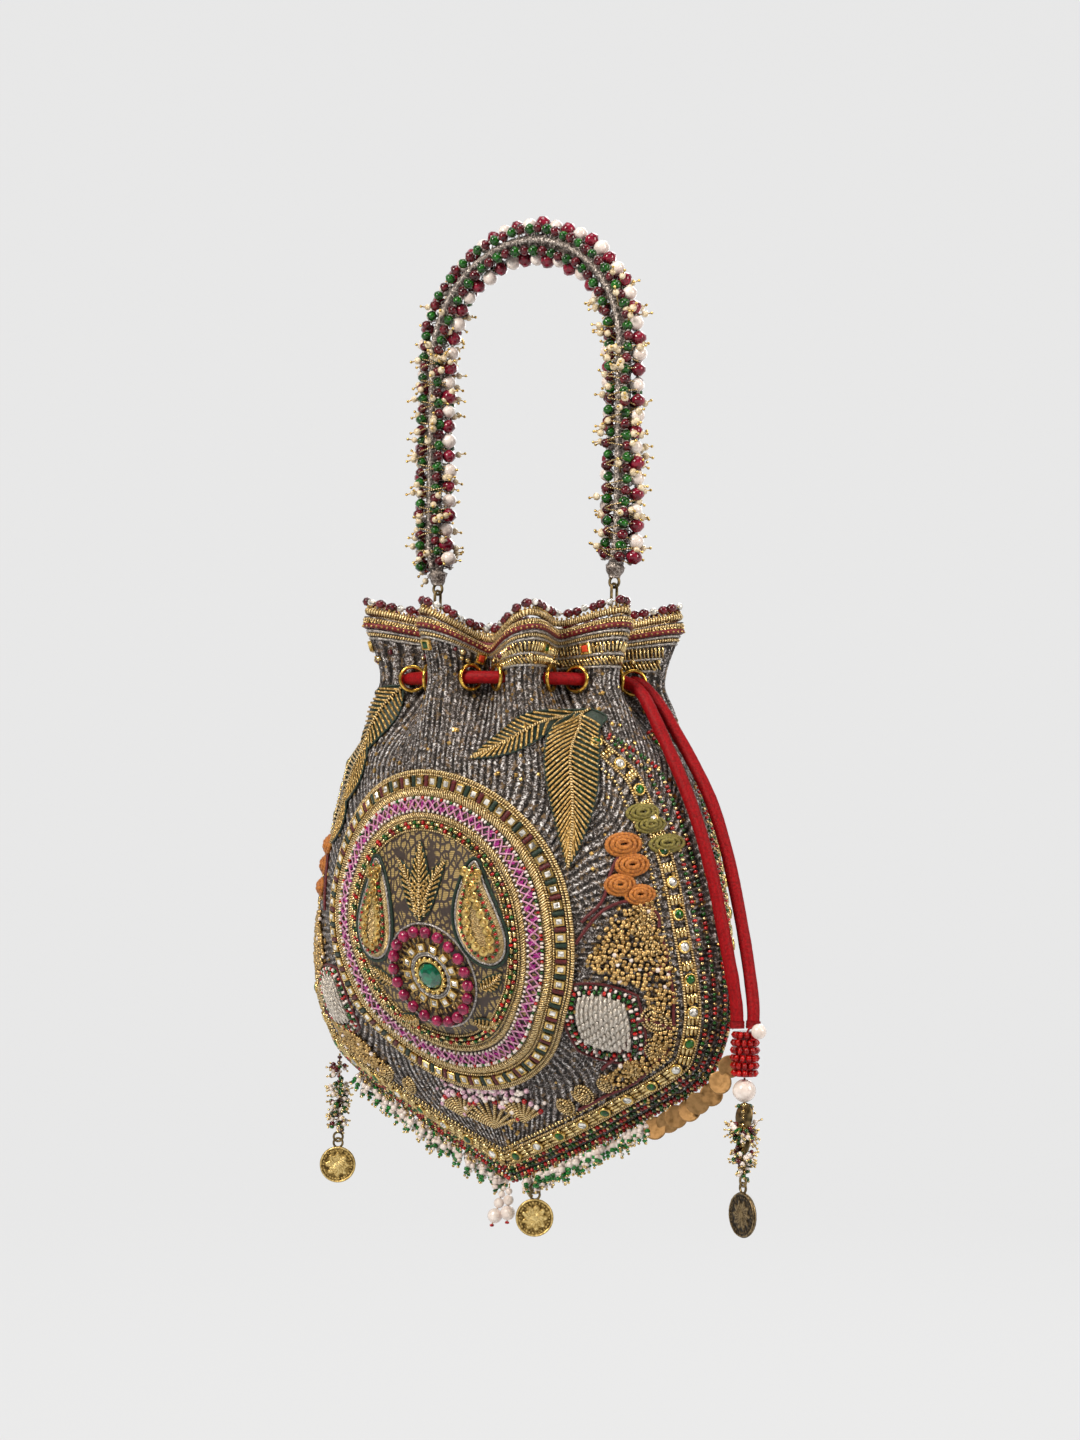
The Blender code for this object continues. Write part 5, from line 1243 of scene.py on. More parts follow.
def eyelets():
    """Two gilt rings for each fold, square to the cloth."""
    wire, around, section = 0.165, 28, 8        # wire radius as a share of the ring's
    turn, spin = np.meshgrid(round_turn(around), round_turn(section), indexing="ij")
    reach = 1 + wire * np.cos(spin)
    points = np.stack([reach * np.cos(turn), reach * np.sin(turn), wire * np.sin(spin)], -1).reshape(-1, 3)
    i, j = np.meshgrid(np.arange(around), np.arange(section), indexing="ij")
    low, high = i * section, (i + 1) % around * section
    after = (j + 1) % section
    faces = np.stack([low + j, high + j, high + after, low + after], -1).reshape(-1, 4)
    angle = np.array([TAU * (v + w * 0.25) / FOLDS for v in range(FOLDS) for w in (-1, 1)])
    count = len(angle)
    level = np.full(count, NECK)
    along = unit((cloth(angle + 0.01, level) - cloth(angle - 0.01, level)) * (1, 1, 0))
    place = angle - np.tile([-1, 1], FOLDS) * EYELET_SHIFT
    centre = np.stack([NECK_RADIUS * np.cos(place), NECK_RADIUS * np.sin(place), level], -1)
    axes = np.stack([along, np.zeros((count, 3)) + (0, 0, 1), np.cross(along, (0, 0, 1))], -2)
    make_piece("eyelet_rings", [copies((points, [faces]), centre, axes, (4.7, 4.7, 4.7))],
               [gilt_metal("gilt_eyelet", "#a87a2c", "#f2c860", 0.2)], "bag", "gold_metal",
               *(f"eyelet_{k:02d}" for k in range(1, count + 1)))


tails = drawstring()
eyelets()


# Tassel. A barrel of bright red seed beads covers the cord ends, with one pearl looped at its side.
# Below it hang a pearl, thin brass discs and tufts of seeds on pins, down to a dark bronze coin.


def tube(line, radius, kind=0, closed=False, sides=10):
    """A plain round wire or tube along a line."""
    way = np.gradient(line, axis=0)
    outs = unit(np.cross(way, (0.37, 0.85, 0.21)))
    places = placed(line, outs, 0.6, closed, 0.5 if closed else 0)
    return rope(places, radius, kind, 1, 400, closed, depth=0.0, sides=sides)


def wire_loop(centre, normal, up, radius, wire, kind=0, straight=0.0):
    """A wire ring, or a link with straight sides, round a normal."""
    normal, up = unit(np.array(normal, float)), unit(np.array(up, float))
    side = np.cross(up, normal)
    turn = round_turn(48)
    line = (np.array(centre) + np.cos(turn)[:, None] * side * radius
            + (np.sin(turn) * radius + np.sign(np.sin(turn)) * straight / 2)[:, None] * up)
    if not straight:
        return tube(line, wire, kind, closed=True, sides=8)
    ways = unit(np.roll(line, -1, 0) - np.roll(line, 1, 0))
    across = np.zeros(line.shape) + normal
    places = line, np.stack([ways, across, np.cross(ways, across)], -2)
    return rope(places, wire, kind, 1, 400, closed=True, depth=0.0, sides=8)


LOOP_RADIUS, LOOP_WIRE = 1.9, 0.5           # the wire loops that coins and strings hang by


def end_loop(top, length, turn, kind=0):
    """The wire loop under a string of this length, turned so many radians from the front."""
    centre = top - (0, 0, length + LOOP_RADIUS - 0.25)
    return wire_loop(centre, (math.sin(turn), -math.cos(turn), 0), (0, 0, 1), LOOP_RADIUS, LOOP_WIRE, kind)


def single(shape, place, size, kind=0):
    """One upright copy of a shape."""
    return copies(shape, np.array(place)[None], np.eye(3)[None], np.full((1, 3), size), kind)


def pins(chance, base, count, length, spread, radius, kinds):
    """Beads on short pins that stand out all round a hanging string, each with a gold seed at its
    tip. base is points along the string, and kinds are the finishes that a bead may have."""
    at = chance.uniform(0, len(base) - 1.001, count)
    start = at_places(base, at)
    turn = chance.uniform(0, TAU, count)
    way = unit(np.stack([np.cos(turn), np.sin(turn), chance.normal(-0.25, spread, count)], -1))
    axes = standing(way, (0.2, 0.3, 1))
    long = length * chance.uniform(0.75, 1.15, count)
    chunks = [copies(BAR, start + way * (radius + long / 2)[:, None], axes, slim(0.2, long / 2), 4)]
    picked = np.array(kinds)[chance.integers(0, len(kinds), count)]
    chunks.append(copies(BALL, start + way * (radius + long * 0.62)[:, None], axes,
                         chance.uniform(0.85, 1.25, count), picked))
    chunks.append(copies(BALL, start + way * (radius + long)[:, None], axes, 0.5, 3))
    return chunks


def straight_down(top, length, steps=30):
    """Points from the top of a string down."""
    return np.array(top) - np.linspace(0, 1, steps)[:, None] * (0, 0, length)


def relief_coin(centre, turn, radius, thick, petals):
    """A struck disc with a raised edge, a ring of dots and a flower of rays on both faces."""
    spokes, rings = 96, 26
    share = np.linspace(0.0, 1.0, rings)[:, None]
    angle = round_turn(spokes)
    flower = ease((0.62 + 0.1 * np.cos(petals * angle) - share) * 14) * (0.45 + 0.55 * np.abs(np.sin(
        petals * angle + 9 * share)))
    dots = np.clip(np.cos(30 * angle), 0, 1) ** 0.6 * ease(1 - np.abs(share - 0.79) / 0.055)
    edge = ease(1 - np.abs(share - 0.94) / 0.055)
    middle = ease((0.15 - share) * 30)
    relief = np.maximum(np.maximum(flower * 0.8, dots), np.maximum(edge, middle))
    worn = np.random.default_rng(petals).normal(size=relief.shape) * 0.06
    level = (relief + worn) * 0.055 * radius
    level[-1] = -thick * 0.35
    normal = np.array([math.sin(turn), -math.cos(turn), 0])
    side = np.array([math.cos(turn), math.sin(turn), 0])
    flat = share[..., None] * radius * (np.cos(angle)[:, None] * side + np.sin(angle)[:, None] * (0, 0, 1))
    found = []
    for way in (1, -1):
        verts = np.array(centre) + flat + normal * (way * (thick / 2 + level))[..., None]
        found.append((verts, grid_faces(rings, spokes, ring=True)[:, ::way], 0,
                      np.stack([relief, relief * 0], -1)))
    band = np.stack([found[0][0][-1], found[1][0][-1]])
    found.append((band, grid_faces(2, spokes, ring=True), 0, np.ones((2, spokes, 2))))
    return found


def struck_metal(name, deep, middle, high):
    """Old struck brass: darker in the hollows of its relief and brighter on its raised parts."""
    made, tree = empty_material(name)
    lay = add_node(tree, "Attribute", attribute_name="lay", out="Vector")
    raised = add_node(tree, "SeparateXYZ", {0: lay})
    cloud = blotches(tree, 1.1, 4.0)
    tone = add_node(tree, "Math", {0: raised, 1: 0.55, 2: cloud}, operation="MULTIPLY_ADD")
    colour = add_node(tree, "ValToRGB", {0: tone}, ((0.42, deep), (0.72, middle),
                                                    (1.0, high)))
    finish_with(tree, colour, 0.42, cloud, 0.0003, 0.6, 0.8)
    return made


OLD_BRASS = struck_metal("old_struck_brass", "#57431f", "#c0a05c", "#f2d894")
DARK_BRONZE = struck_metal("dark_bronze", "#1f1a12", "#5c4c34", "#9a8560")
AGED_WIRE = gilt_metal("aged_brass_wire", "#4e4128", "#94805a", 0.4)
BRIGHT_RED = glass("bright_red_glass", "#6a0202", "#c00a06", 0.14, 0.25, 0.25)
RED_WINDING = satin_thread("red_winding_thread", "#640a10", "#94141a", 0.0, 0.15)
BEADS = [PEARL, GREEN_GLASS, MAROON_GLASS, BUGLE_GOLD, GOLD_THREAD]
PEARL_BALL = turned([(math.sin(a), -math.cos(a)) for a in np.linspace(0, math.pi, 10)[:-1]] + [(0, 1)], 14)


def tassel(tails):
    """The barrel, the string with its coin, and the red winding where each tail goes in."""
    axis = np.array([108.0, -4.0, 0.0])
    chance = np.random.default_rng(8)
    turn = round_turn(90)
    chunks = []
    rows, barrel = 6, 17          # rows of beads over so many mm
    for k in range(rows):
        height = 64.2 - barrel * (k + 0.5) / rows
        radius = 4.35 * (1 - 0.1 * abs(k - 2.5) ** 2 / 6)
        ring = axis + np.stack([radius * np.cos(turn + k * 0.2), radius * np.sin(turn + k * 0.2),
                                np.full(90, height)], -1)
        outs = unit((ring - axis) * (1, 1, 0))
        chunks.append(on_line(SEED, placed(ring, outs, 2.25, closed=True), 1.42, 0))
    chunks.append(tube(axis + np.linspace(64.1, 47.3, 20)[:, None] * (0, 0, 1), 3.3, 0, sides=14))
    chunks.append(wire_loop(axis + (4.6, -2.2, 63.6), (0, 1, 0.2), (0.6, 0, 1), 2.3, 0.4, 1))
    chunks.append(single(PEARL_BALL, axis + (7.4, -2.6, 64.6), 2.9, 2))
    loop_thread = satin_thread("red_loop_thread", "#7c0c10", "#b41a1e", 0.0, 0.2)
    cap = make_piece("tassel_barrel", chunks, [BRIGHT_RED, loop_thread, PEARL], "bag", "red_bead",
                     "tassel_cap")

    top, length = axis + (0, 0, 46.9), 37
    chunks = [tube(straight_down(top, length), 0.4, 4, sides=6)]
    chunks.append(single(PEARL_BALL, top - (0, 0, 4.9), (4.5, 4.5, 4.3), 0))
    disc = turned([(0, -0.05), (0.92, -0.05), (1, 0), (0.92, 0.05), (0, 0.05)], 24)
    for drop, tilt, size in ((14.6, -1.0, 5.4), (25.0, -1.0, 3.9), (33.5, 0.8, 3.0)):
        normal = np.array([math.sin(tilt + 0.6), -math.cos(tilt + 0.6), 0.12])
        side = unit(np.cross((0, 0, 1), normal))
        axes = np.stack([side, np.cross(unit(normal), side), unit(normal)])[None]
        chunks.append(copies(disc, top[None] - (0, 0, drop), axes, np.full((1, 3), size), 6))
    for drop, reach, count in ((11.0, 4.2, 7), (19.5, 6.8, 44), (23.5, 4.6, 14), (29.5, 5.2, 34),
                               (34.5, 3.2, 10)):
        part = straight_down(top - (0, 0, drop - 2.4), 4.8, 8)
        chunks += pins(chance, part, count, reach, 0.45, 0.3, (0, 1, 0, 2, 1))
    for drop in np.arange(10.2, 36, 2.5):
        chunks.append(single(SEED, top - (0, 0, drop), 1.1, 3))
    chunks.append(end_loop(top, length, -0.436, 6))
    strand = make_piece("tassel_string", chunks, BEADS + [DARK_BRONZE, AGED_WIRE], "tassel_strand", "pearl",
                        "tassel_strand")
    coin = hanging_coin("tassel_bronze_coin", (108.0, -4.0, 6.35), math.radians(-25), 8.5, DARK_BRONZE,
                        "tassel_coin", 10)
    for made, path in tails:
        end = smooth_line(path[-3:] / MM - (0, 0, HEM), 0.5)
        places = placed(end, np.tile((0.1, 1.0, 0.1), (len(end), 1)), 0.5, start=0)
        wound = rope(places, CORD_RADIUS + 0.25, 0, 1, 1.1, depth=0.09, sides=12)
        name = made.name.replace("satin", "winding")
        winding = make_piece(name, [wound], [RED_WINDING], "bag", "red_satin")


def hanging_coin(name, wire, turn, radius, metal, node, petals):
    """A coin under a soldered bail, hung on a wire with its middle at wire. It is its own body."""
    bail = np.array(wire) + (0, 0, 1.3 - LOOP_RADIUS)
    centre = bail - (0, 0, LOOP_RADIUS + radius - 0.4)
    chunks = relief_coin(centre, turn, radius, 0.9, petals)
    normal = (math.sin(turn), -math.cos(turn), 0)
    chunks.append(wire_loop(bail, normal, (0, 0, 1), LOOP_RADIUS, LOOP_WIRE, 1))
    return make_piece(name, chunks, [metal, AGED_WIRE], node, "aged_brass", node)


tassel(tails)


# Handle. A stiff plaited silver cord, wound with fine silver thread. Rows of small faceted green
# and maroon beads and larger pearls and maroon beads are sewn round it. Ivory pearls on gold pins
# bristle from both legs. A thread-wrapped cone and a wire loop end each leg.


END_X, END_HEIGHT = 43.3, 237     # of the handle's ends
ARCH = 46                         # radius of its arch, and half the width between its legs
END_LOOP, LINK_WIRE = 2.2, 0.6    # radius of the wire rings at its ends and at the mouth, and of the wire
HANDLE_STEP = 0.8                 # mm between the points of its middle line


def handle_path():
    """The middle line of the handle, from the left end over the arch to the right."""
    leg_foot, leg_top = END_HEIGHT + 18, END_HEIGHT + 91
    t = np.linspace(0, 1, 24, endpoint=False)
    taper = np.stack([END_X + (ARCH - END_X) * ease(t), 0 * t, END_HEIGHT + 18 * t], -1)
    leg = np.stack([0 * t + ARCH, 0 * t, leg_foot + (leg_top - leg_foot) * t], -1)
    turn = np.linspace(0, math.pi / 2, 60)
    arch = np.stack([ARCH * np.cos(turn), 0 * turn, leg_top + ARCH * np.sin(turn)], -1)
    half = np.concatenate([taper, leg, arch])
    line = np.concatenate([half[:-1] * (-1, 1, 1), half[::-1]])
    return at_places(line, spaced(line, HANDLE_STEP, start=0))


HANDLE_PATH = handle_path()
PLAIT_SILVER = silver_thread("tarnished_silver_plait", "#342c28", "#8c817a", "#e2dad4")
PLUM_GLASS = glass("large_maroon_glass", "#5c0a1c", "#921a36")


def beside_handle(angle, distance):
    """A line beside the handle's middle. Angle 0 faces the front and 90 degrees outwards."""
    ways = unit(np.gradient(HANDLE_PATH, axis=0))
    angle = np.reshape(angle, (-1, 1))
    outs = np.cos(angle) * (0, -1, 0) + np.sin(angle) * np.stack(
        [-ways[:, 2], 0 * ways[:, 0], ways[:, 0]], -1)
    return HANDLE_PATH + outs * distance, outs


def handle():
    """The plaited cord with its windings and loops, the rows of beads and the bristling pearls."""
    chance = np.random.default_rng(17)
    line, outs = beside_handle(0.0, 0.0)
    places = placed(line, outs, 0.9, start=0)
    reach = np.arange(len(places[0])) * 0.9
    total = reach[-1]
    ends = np.minimum(reach, total - reach)
    radius = np.interp(ends, [0, 2.5, 4.25, 4.7, 5.2, 400], [2.4, 3.5, 4.4, 4.3, 3.1, 3.1])
    chunks = [rope(places, radius, 0, 4, 5.0, depth=0.16, sides=12)]
    inner = slice(8, -8)
    plait, outs = beside_handle(0.0, 3.1)
    chunks.append(braid(placed(plait[inner], outs[inner], 0.55), 1.5, 1.5, 0, 3.2))
    plait, outs = beside_handle(math.pi, 3.0)
    chunks.append(braid(placed(plait[inner], outs[inner], 0.7), 1.9, 1.2, 0, 3.6))
    steps = np.arange(len(HANDLE_PATH))
    legs = (slice(8, 118), slice(-118, -8))
    for way, pitch, off, metal, spans in ((1, 6.4, 4.3, 0, [inner]), (-1, 7.6, 4.4, 0, [inner]),
                                          (1, 8.7, 6.6, 2, legs), (-1, 8.7, 6.9, 2, legs)):
        wound, outs = beside_handle(way * TAU * steps * HANDLE_STEP / pitch + pitch, off)
        for span in spans:
            chunks.append(rope(placed(wound[span], outs[span], 1.1), 0.3, metal, 2, 3.0, sides=5))
    for side in (-1, 1):
        chunks.append(wire_loop((side * END_X, 0, END_HEIGHT - END_LOOP + LINK_WIRE), (0, 1, 0), (0, 0, 1),
                                END_LOOP, LINK_WIRE, 1))
    make_piece("handle_plait", chunks, [PLAIT_SILVER, AGED_WIRE, GOLD_THREAD], "handle", "silver_plait",
               "handle_core")

    # distances from the middle line: the cord, half a bead and a little play
    small, large = 3.2 + 2.15 + 0.4, 3.2 + 2.9 + 0.4
    for node, angles, distance, pitch, size, order in (
        ("handle_beads_front_outer", (46,), small, 4.35, 2.2, (1, 2)),
        ("handle_beads_front_inner", (-46,), small, 4.35, 2.2, (2, 1)),
        ("handle_beads_back", (142, -142), small, 4.35, 2.12, (2, 1)),
        ("handle_beads_side_outer", (94,), large, 6.1, 3.1, (2, 0)),
        ("handle_beads_side_inner", (-94,), large, 6.1, 3.1, (0, 2)),
    ):
        chunks = []
        for angle in angles:
            swing = np.radians(angle + 7 * np.sin(steps * HANDLE_STEP / 9.1 + angle))
            line, outs = beside_handle(swing, distance)
            places, axes = placed(line[inner], outs[inner], pitch)
            count = len(places)
            kinds = in_turn(order, count)
            sizes = size * chance.uniform(0.88, 1.06, count)
            scale = np.stack([sizes, sizes, sizes * 0.92], -1)
            places = places + axes[:, 2] * chance.normal(0, 0.35, (count, 1))
            plain = kinds == 0
            if plain.any():
                chunks.append(on_line(PEARL_BALL, (places[plain], axes[plain]), scale[plain], 0))
            chunks.append(on_line(FACETED, (places[~plain], axes[~plain]), scale[~plain], kinds[~plain]))
            tips = placed(line[inner], outs[inner], pitch, start=0)
            chunks.append(on_line(SEED, tips, 0.75, 3))
        plum = PLUM_GLASS if "side" in node else MAROON_GLASS
        make_piece(node.replace("beads", "row"), chunks, [PEARL, GREEN_GLASS, plum, SILVER_THREAD], "handle",
                   "maroon_glass", node)

    ways = unit(np.gradient(HANDLE_PATH, axis=0))
    chunks = []
    count = 118
    for side in (-1, 1):
        at = (6 + 112 * chance.uniform(0, 1, count) ** 0.9) / HANDLE_STEP
        at = at if side < 0 else len(HANDLE_PATH) - 1 - at
        way = at_places(ways, at)
        angle = chance.uniform(0.12, TAU - 0.12, count)
        outward = np.stack([-way[:, 2], 0 * at, way[:, 0]], -1)
        out = np.cos(angle)[:, None] * (0, -1, 0) + np.sin(angle)[:, None] * outward
        out = unit(out + way * chance.normal(0, 0.42, (count, 1)))
        axes = standing(out, way)
        base = at_places(HANDLE_PATH, at)
        long = chance.uniform(9.0, 11.4, count)[:, None]
        chunks.append(copies(BAR, base + out * (long * 0.5 + 1.6), axes, slim(0.26, long[:, 0] * 0.5), 1))
        chunks.append(copies(BALL, base + out * (long - 1.3), axes, chance.uniform(1.25, 1.6, count), 0))
        chunks.append(copies(BALL, base + out * (long + 1.5), axes, 0.62, 2))
    ivory = glass("ivory_pearl_bead", "#c4b08c", "#f2e4c8", 0.24, 0.4, 0.5)
    make_piece("handle_picots", chunks, [ivory, GOLD_THREAD, GILT], "handle", "pearl")


def rings_and_links():
    """The rings sewn to the mouth and the links that join them to the handle's loops."""
    for name, side in (("left", -1), ("right", 1)):
        ring = wire_loop((side * END_X, 0, 222.08), (0, 1, 0), (0, 0, 1), END_LOOP, LINK_WIRE)
        make_piece(f"rim_ring_{name}_wire", [ring], [AGED_WIRE], "bag", "aged_brass", f"rim_ring_{name}")
        link = wire_loop((side * END_X, 0, 228.74), (1, 0, 0), (0, 0, 1), 1.9, LINK_WIRE, straight=8.12)
        make_piece(f"link_{name}_wire", [link], [AGED_WIRE], "links", "aged_brass", f"link_{name}")


handle()
rings_and_links()


# Charms. At the left corner a gold string with tufts of seeds and pearls holds a coin. Under the
# tip hang two strings of pearls, each ending in a red bead, and beside them a coin on a short chain.

CORNER = -90.025
COIN_TURN = math.radians(33)      # the brass coins face the camera


def charms():
    """The string and coin at the left corner, and the pearls and coin under the tip."""
    chance = np.random.default_rng(31)
    top, length = np.array([CORNER, 0.0, 42.87]), 33
    chunks = [tube(straight_down(top, length), 0.45, 4, sides=6)]
    for drop in np.arange(1.6, length, 2.0):
        chunks.append(single(SEED, top - (0, 0, drop), 1.05, int(chance.integers(0, 4))))
    for drop, count, reach in ((6.0, 12, 4.6), (15.0, 30, 5.4), (21.0, 34, 5.0), (27.5, 30, 4.4)):
        chunks += pins(chance, straight_down(top - (0, 0, drop - 2.6), 5.2, 8), count, reach, 0.4, 0.3,
                       (0, 1, 1, 2, 0))
    chunks.append(end_loop(top, length, 0.576, 5))
    make_piece("left_string", chunks, BEADS + [AGED_WIRE], "left_strand", "pearl", "left_strand")
    hanging_coin("left_brass_coin", (CORNER, 0.0, 6.32), COIN_TURN, 7.5, OLD_BRASS, "left_coin", 8)

    top = np.array([-2.34, 0.0, -2.957])
    chunks = []
    for shift, lean, length in ((-1.6, -4.4, 17.0), (0.4, -0.6, 15.6)):
        line = top + np.linspace(0, 1, 30)[:, None] * (lean, 0.6 * lean, -length) + (shift, 0, 0)
        chunks.append(tube(line, 0.3, 2, sides=6))
        drop = length - 0.8
        for size in (3.0, 2.1, 1.4, 1.0, 0.9):
            drop -= size
            spot = line[0] + (line[-1] - line[0]) * drop / length
            chunks.append(single(PEARL_BALL, spot, size, 0))
            drop -= size
            if drop < 3.0:
                break
        chunks.append(single(SEED, line[-1], 0.9, 1))
    make_piece("pearl_strings", chunks, [PEARL, RED_GLASS, GOLD_THREAD], "pearl_drop", "pearl", "pearl_drop")

    top, length = np.array([10.486, 0.0, 0.79]), 3.0
    chunks = [tube(straight_down(top, length, 8), 0.7, 0, sides=8), end_loop(top, length, 0.576)]
    make_piece("middle_chain", chunks, [AGED_WIRE], "bag", "aged_brass", "middle_loop")
    hanging_coin("middle_brass_coin", (top[0], 0.0, -5.76), COIN_TURN, 7.5, OLD_BRASS, "middle_coin", 9)


charms()


# Appliqué on the ground. Feather leaves of gold barbs on dark green satin, gold sequins between the
# ribs, orange and olive rosettes, a silver basket weave with a beaded edge, gold bead fields and
# scrolls of gold purl inside dark red cord.

SEQUIN = turned([(1.1, 0), (1.0, 0.5), (0.45, 0.62), (0, 0.75)], 4)
BASKET_SILVER = silver_thread("bright_silver_cord", "#8c8378", "#cfc6ba", "#fbf6ee")


def sequins():
    """Small square gold sequins caught down with a seed."""
    chance = np.random.default_rng(44)
    chunks = []
    for side, count in ((-1, 620), (1, 260)):
        angle = side * chance.uniform(0.02, math.pi - 0.02, count)
        height = 8 + 198 * chance.uniform(0, 1, count) ** 0.85
        x = half_width(height) * np.cos(angle)
        if side < 0:
            outside = (x / 60) ** 2 + ((height - MEDALLION[1]) / 64) ** 2 >= 1
            angle, height = angle[outside], height[outside]
        places, axes = cloth_frames(angle, height, 0.42, chance.uniform(0, 3, len(angle)))
        chunks.append(copies(SEQUIN, places, axes, chance.uniform(0.55, 1.0, len(angle)), 0))
    make_piece("ground_sequins", chunks, [gilt_metal("worn_gold_sequin", "#7a5a2c", "#d6b06a", 0.3)], "bag",
               "gold_metal", smooth=False)


def feather_leaves():
    """Long leaves that hang from the gathers: two at the right and three at the left of the front."""
    for side in (-1, 1):
        chunks = []
        shapes = [((46.0, 183.0), (19.0, 164.5), 5.6, 1.5), ((45.5, 184.0), (55.0, 124.0), 7.2, 3.6),
                  ((-26.0, 193.0), (-41.0, 165.0), 8.0, -1.0), ((-37.0, 170.0), (-54.0, 146.0), 7.6, -1.0),
                  ((-51.0, 149.0), (-64.0, 131.0), 5.6, 0.0)]
        if side > 0:
            shapes = [((-x0, z0), (-x1, z1), w, -b) for (x0, z0), (x1, z1), w, b in shapes[:2]] + shapes[:1]
        for k, (base, tip, half, bend) in enumerate(shapes):
            chunks += leaf(base, tip, half, 1.3 if k == 1 else 0.55, side, 1.8, bend, 0.13)
        make_piece("feather_leaves_" + ("front" if side < 0 else "back"), chunks, LEAF_FINISH, "bag",
                   "gold_braid")


def rosettes():
    """Flowers of looped braid: orange at the top of each side group, olive above them."""
    orange = satin_thread("orange_silk_braid", "#8a4c1a", "#cf8438")
    olive = satin_thread("olive_silk_braid", "#524a1c", "#968a40")
    chunks = []
    for x, z, size, kind in ((70.0, 133.0, 4.6, 0), (73.0, 125.5, 4.3, 0), (70.5, 118.0, 4.2, 0),
                             (76.0, 114.5, 3.9, 0), (73.0, 145.0, 3.6, 1), (75.5, 140.5, 3.3, 1),
                             (80.0, 133.5, 3.6, 1), (-71.0, 130.0, 4.2, 0), (-74.0, 122.0, 4.0, 0),
                             (-76.0, 113.0, 3.8, 0)):
        for radius, lift in ((0.82, 1.0), (0.56, 1.8), (0.3, 2.4)):
            turn = round_turn(60)
            line = row(x + size * radius * np.cos(turn) / 0.9, z + size * radius * np.sin(turn), lift, 0.55,
                       closed=True)
            chunks.append(rope(line, 1.05 * size / 4.2, kind, 2, 2.0, closed=True, depth=0.4))
    make_piece("braid_rosettes", chunks, [orange, olive], "bag", "embroidered_cloth")


def basket(x, z, wide, tall, lean, name):
    """A padded lozenge of silver cords woven over and under, with red and green beads round it."""
    c, s = math.cos(lean), math.sin(lean)

    def place(u, v):
        return x + u * c - v * s, z + u * s + v * c

    def lozenge(u, v, grow=0.0):
        return place(u * (wide + grow) * (1 - 0.16 * v ** 2), v * (tall + grow) * (1 - 0.16 * u ** 2))

    def dome(u, v, lift):
        return lift + 1.3 * np.sqrt(np.clip(1 - 0.96 * np.maximum(u ** 2, v ** 2), 0, 1))

    steps = 15
    u, v = (w.ravel() for w in np.meshgrid(*[np.linspace(-1, 1, steps)] * 2, indexing="ij"))
    chunks = [(panel(*lozenge(u, v), dome(u, v, 0.5))[0], grid_faces(steps, steps)[:, ::-1], 0)]
    columns, rows = round(wide / 0.85), round(tall / 1.5)
    u, v = np.meshgrid((np.arange(columns) + 0.5) / columns * 2 - 1, (np.arange(rows) + 0.5) / rows * 2 - 1,
                       indexing="ij")
    v = np.clip(v + (np.arange(columns) % 2)[:, None] / rows, -1, 0.97)
    u, v = u.ravel(), v.ravel()
    places, axes = panel(*lozenge(u, v), dome(u, v, 0.95))
    chunks.append(on_line(BALL, (places, spun(axes, lean)[:, [1, 0, 2]]), (0.76, 0.62, 1.9), 0))
    t = np.linspace(-1, 1, 30)[:-1]
    u, v = np.concatenate([np.stack([t, -1 + 0 * t]), np.stack([1 + 0 * t, t]),
                           np.stack([-t, 1 + 0 * t]), np.stack([-1 + 0 * t, -t])], 1)
    for grow, lift, size, kinds in ((1.4, 1.0, 0.95, (1, 2, 3, 1, 2, 2)), (3.1, 0.7, 0.85, (2, 3, 1, 3))):
        line = round_row(lozenge(u, v, grow), lift, 1.9)
        chunks.append(on_line(SEED, line, size, in_turn(kinds, len(line[0]))))
    edge = round_row(lozenge(u, v, 4.6), 0.5, 0.7)
    chunks.append(rope(edge, 0.6, 4, 2, 2.0, closed=True))
    make_piece(name, chunks, [BASKET_SILVER, RED_GLASS, GREEN_GLASS, PEARL, MAROON_SATIN], "bag",
               "silver_plait")


def inside_border(x, z, room):
    """The place, moved inwards where it has less than so much room beside the border."""
    line = np.stack(seam_line(BORDER_EDGE), -1)
    near = line[np.argmin(np.hypot(*(line - (x, z)).T))]
    inward = unit(np.array([0.0, 85.0]) - near)
    spot = np.array([x, z])
    return spot + inward * max(room - float((spot - near) @ inward), 0.0)


def bead_field(corners, count, seed):
    """Gold seed beads packed inside a shape given by its corners as (x, height)."""
    chance = np.random.default_rng(seed)
    corners = np.array(corners, float)
    low, high = corners.min(0), corners.max(0)
    found = []
    while len(found) < count:
        spot = chance.uniform(low, high)
        after = np.roll(corners, -1, 0)
        crosses = ((corners[:, 1] > spot[1]) != (after[:, 1] > spot[1])) & (
            spot[0] < (after[:, 0] - corners[:, 0]) * (spot[1] - corners[:, 1])
            / (after[:, 1] - corners[:, 1] + 1e-9) + corners[:, 0])
        kept = np.allclose(spot, inside_border(*spot, 0.6))
        if kept and crosses.sum() % 2 and all(np.hypot(*(spot - f)) > 1.15 for f in found[-140:]):
            found.append(spot)
        elif len(found) and chance.uniform() < 0.0006:
            break
    x, z = np.array(found).T
    places, axes = panel(x, z, 0.95 + 0.5 * chance.uniform(0, 1, len(x)))
    sizes = chance.uniform(0.8, 1.1, len(x))
    pearls = (chance.uniform(0, 1, len(x)) < 0.06) * 1
    return on_face(BALL, (places, axes), sizes, pearls)


def spiral(x, z, radius, turns, start, lift, way=1):
    """A coil of purl that winds in on itself."""
    t = np.linspace(0, 1, int(60 * turns))
    r = radius * (1 - 0.86 * t)
    angle = start + way * TAU * turns * t
    return row(x + r * np.cos(angle), z + r * np.sin(angle), lift, 0.6, start=0)


